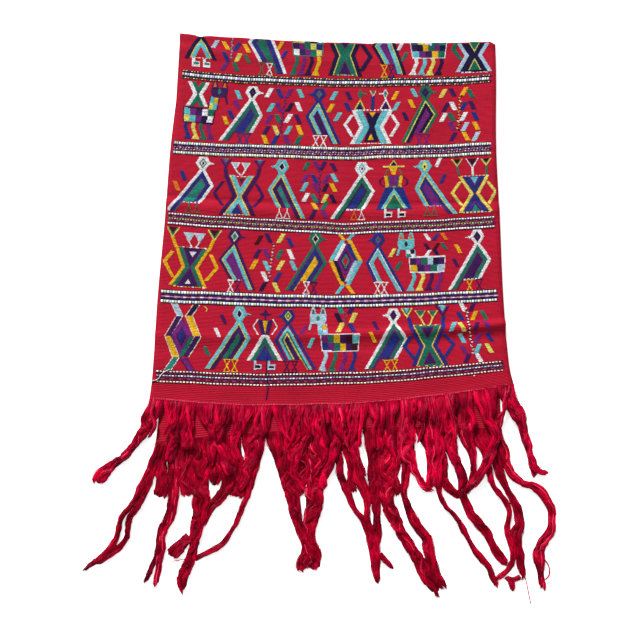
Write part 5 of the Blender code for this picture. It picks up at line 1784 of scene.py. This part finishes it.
def lay_tresses(mesh, form, chance):
    """The tresses of a lock; returns their routes, distances, half widths, half heights and shades."""
    count = form.tresses
    lengths = chance.uniform(TRESS_SHORTEST, 1.0, (count, 1))
    distance = np.linspace(0, form.length, form.steps)[None] * lengths
    x, y, lean, half, base, height = form.form(distance)
    place = np.linspace(-1, 1, count)[:, None] + slow_wave(chance, TRESS_CROSSING, distance, count)
    tress_half = half * TRESS_OVERLAP / count
    spread = np.clip(place, -1, 1) * (half - tress_half) + slow_wave(chance, TRESS_SWAY, distance, count)
    layer = 0.5 + slow_wave(chance, TRESS_LAYERING, distance, count)
    z = base + height * (TRESS_LEVEL + TRESS_LAYERS * layer)
    root_shares = (np.arange(count)[:, None] + 0.5) / count
    routes = form.gather(x + spread * np.cos(lean), y + spread * np.sin(lean), z, distance, root_shares)
    gathered = smooth_step(distance / GATHER_LENGTH)
    tress_half = mix(form.root_half * TRESS_ROOT_OVERLAP / count, tress_half, gathered)
    tress_high = TRESS_HALF_HEIGHT * height * mix(TRESS_ROOT_FLATNESS, 1.0, gathered)
    shade = chance.uniform(*TRESS_SHADES, count)
    mesh.add(routes, tress_half, tress_high, TRESS_SIDES, shade, np.zeros(count, int), chance)
    return routes, distance, tress_half, tress_high, shade


def lay_strands(mesh, routes, distance, tress_half, tress_high, tress_shade, chance):
    """Fine strands side by side on each tress."""
    beside, above = frames_along(routes)
    each = max(3, int(round(2 * float(tress_half.mean()) / STRAND_SPACING)))
    number = each * len(routes)
    owner = np.repeat(np.arange(len(routes)), each)
    over = np.tile(np.linspace(-STRAND_REACH, STRAND_REACH, each), len(routes))[:, None]
    over = over + slow_wave(chance, STRAND_CROSSING, distance[owner], number)
    over = np.clip(over, -STRAND_LIMIT, STRAND_LIMIT)
    rise = np.sqrt(np.clip(1 - over * over, LOWEST_RISE, 1)) * tress_high[owner] + STRAND_LIFT
    loose = slow_wave(chance, STRAND_SWAY, distance[owner], number)
    strands = (routes[owner] + beside[owner] * (over * tress_half[owner] + loose)[:, :, None]
               + above[owner] * rise[:, :, None])
    shade = np.clip(tress_shade[owner] + chance.normal(0, STRAND_SHADING, number), *STRAND_SHADES)
    slots = (chance.uniform(0, 1, number) < PALE_SHARE).astype(int)
    radius = np.full(strands.shape[:2], STRAND_RADIUS) * chance.uniform(*STRAND_RADII, (number, 1))
    mesh.add(strands, radius, radius, STRAND_SIDES, shade, slots, chance)


def lay_lock(mesh, lock, lines, level, roots, chance):
    form = LockForm(lock, lines, level, roots, chance)
    lay_body(mesh, form, chance)
    lay_strands(mesh, *lay_tresses(mesh, form, chance), chance)


# Wisps: thin short locks along the hem, but not over its windows, the stretches with no
# yarn in front of the lower layer. Windows and distances are in millimetres from its left end
WINDOWS = ((14, 30), (75, 94), (110, 116), (161, 174), (198, 215), (356, 367), (387, 394), (405, 411),
           (442, 450), (506, 516), (532, 549), (560, 577))
WINDOW_MARGIN = 4
WISP_PITCH = 6.5
WISP_ROOT = 2.4
# The least and the most of a wisp's length, lean, turn, width and level
WISP_LEAST = (30, -0.2, -0.3, 3.0, 1.5)
WISP_MOST = (76, 0.2, 0.3, 7.0, 4.0)
# How far along a wisp its bends are, and how much of its turn it has made there
WISP_BENDS = ((0.35, 0.5), (0.7, 0.2), (1.0, 1.0))


def wisps(chance, lines):
    """Thin short locks all along the cloth's end, but not over the windows."""
    cloth_width = lines[-1].right_x - lines[-1].left_x
    found = []
    for at in np.arange(WISP_PITCH, cloth_width - WISP_PITCH, WISP_PITCH):
        at = float(at + chance.uniform(-0.5, 0.5) * WISP_PITCH)
        length, lean, turn, width, level = chance.uniform(WISP_LEAST, WISP_MOST)
        if not any(low - WINDOW_MARGIN < at < high + WINDOW_MARGIN for low, high in WINDOWS):
            x, y = (float(place) for place in end_place(lines, at))
            x, y = (x + CENTRE_X) / MM, (y + CENTRE_Y) / MM
            places = [(x + length * (lean * share + turn * bend), y - length * share,
                       width * (1.2 - 0.5 * share)) for share, bend in WISP_BENDS]
            found.append(Lock(at, places, level))
    return found


def make_fringe(name, replaced, colour, locks, loose_locks, lines, level, seed):
    """The yarns of one fringe, with the roots of its locks shared out along the cloth's end."""
    chance = np.random.default_rng(seed)
    mesh = YarnMesh()
    rooted = [lock for lock in locks if lock.at is not None]
    ats = [lock.at for lock in rooted]
    between = [(one + other) / 2 for one, other in zip(ats[:-1], ats[1:])]
    bounds = [0.0] + between + [lines[-1].right_x - lines[-1].left_x]
    for lock, roots in zip(rooted, zip(bounds[:-1], bounds[1:])):
        lay_lock(mesh, lock, lines, level, roots, chance)
    for lock in [lock for lock in locks if lock.at is None] + list(loose_locks):
        roots = lock.at is not None and (lock.at - WISP_ROOT, lock.at + WISP_ROOT)
        lay_lock(mesh, lock, lines, level, roots, chance)
    yarn_name = name.replace("_", " ")
    fringe = mesh.piece(name, [fringe_yarn(yarn_name, colour),
                               fringe_yarn(yarn_name + " pale fibres", PALE_FIBRE_COLOUR)])
    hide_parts(replaced)
    return fringe


# Threads that lie loose on the throw: their radius and places in millimetres, in the frame
# in which the cloth was measured, read in the photo as the locks were, and their level
# where they are off the cloth
Thread = namedtuple("Thread", "yarn radius places off_cloth", defaults=(UPPER_LEVEL,))
LOOSE_THREADS = (
    Thread("navy", 1, ((-87.5, -64.7), (-88, -70.4), (-88.5, -91.2), (-85.7, -113.6), (-87.1, -129.7),
        (-88.6, -139.1))),
    Thread("white", 0.6, ((-248.3, -86.7), (-259.6, -93.2), (-267.4, -103.6), (-277.1, -107.1))),
    Thread("black", 0.6, ((-248.9, -88.9), (-260, -95.9), (-267.6, -106.2), (-277.7, -110))),
    Thread("white", 0.9, ((253.5, -98.7), (255.9, -97.3))),
    Thread("lemon", 0.6, ((-195.9, 23.3), (-193.1, 22.3), (-190.7, 19.7), (-190.5, 16.5), (-192.2, 14.3))),
    Thread("ground", 1.2, ((350.9, -395.3), (355.9, -402.2), (358.2, -411.5), (356.4, -420.6),
        (350.1, -427.2)), 0),
    Thread("ground", 0.8, ((319.8, -423.7), (321.9, -437.4), (323.9, -452.4), (325.9, -464.3)), 0),
    Thread("ground", 0.7, ((-231.2, -398.8), (-218.7, -396.6), (-206.2, -393.5)), 0),
    Thread("ground", 0.4, ((89.5, -139.7), (89.1, -149.7), (93.1, -160.7), (98.5, -165.7), (103.5, -157.7),
        (105.9, -146.7), (104.5, -139.7))),
)
THREAD_LIFT = 1.5 * MM
THREAD_STEPS = 6
THREAD_SIDES = 6
ABOVE_ALL = 0.1
DOWN = Vector((0, 0, -1))


def make_loose_threads(ground):
    """Each thread lies on the cloth below it."""
    surface = BVHTree.FromPolygons([corner.co for corner in ground.data.vertices],
                                   [face.vertices for face in ground.data.polygons])
    chance = np.random.default_rng(THREAD_SEED)
    mesh = YarnMesh()
    yarns = sorted({thread.yarn for thread in LOOSE_THREADS})
    for thread in LOOSE_THREADS:
        places = np.array(thread.places) * MM - np.array((CENTRE_X, CENTRE_Y))
        steps = THREAD_STEPS * (len(places) - 1) + 1
        at, want = np.arange(len(places), dtype=float), np.linspace(0, len(places) - 1, steps)
        x, y = (along_curve(at, places[:, axis], want) for axis in (0, 1))
        hits = [surface.ray_cast(Vector((*place, ABOVE_ALL)), DOWN)[0] for place in zip(x, y)]
        z = np.array([hit.z if hit else thread.off_cloth for hit in hits]) + THREAD_LIFT
        routes = np.stack((x, y, z), axis=-1)[None]
        radius = np.full((1, steps), thread.radius * MM)
        slot = np.array([yarns.index(thread.yarn)])
        mesh.add(routes, radius, radius, THREAD_SIDES, np.array([0.5]), slot, chance)
    piece = mesh.piece("loose_threads", [brocade_yarn(yarn) for yarn in yarns])
    # The brocade yarns read this Stitch map: its crown paints shade on each thread's underside
    add_map(piece, "Stitch", np.concatenate(mesh.strand))
    return piece


WISP_SEED = 40
UPPER_FRINGE_SEED = 41
LOWER_FRINGE_SEED = 42
THREAD_SEED = 51

make_camera()
make_floor()
make_lights()
ground = make_ground()
figures = make_figures()
bands = make_bands()
short_locks = UPPER_SPURS + tuple(wisps(np.random.default_rng(WISP_SEED), UPPER_LINES))
fringes = [
    make_fringe("upper_fringe_yarns", "upper_fringe", FRINGE_COLOUR, UPPER_LOCKS, short_locks, UPPER_LINES,
                UPPER_LEVEL, UPPER_FRINGE_SEED),
    make_fringe("lower_fringe_yarns", "lower_fringe", LOWER_FRINGE_SHADED_COLOUR, LOWER_LOCKS, (), LOWER_LINES,
                0.0, LOWER_FRINGE_SEED),
]
threads = make_loose_threads(ground)
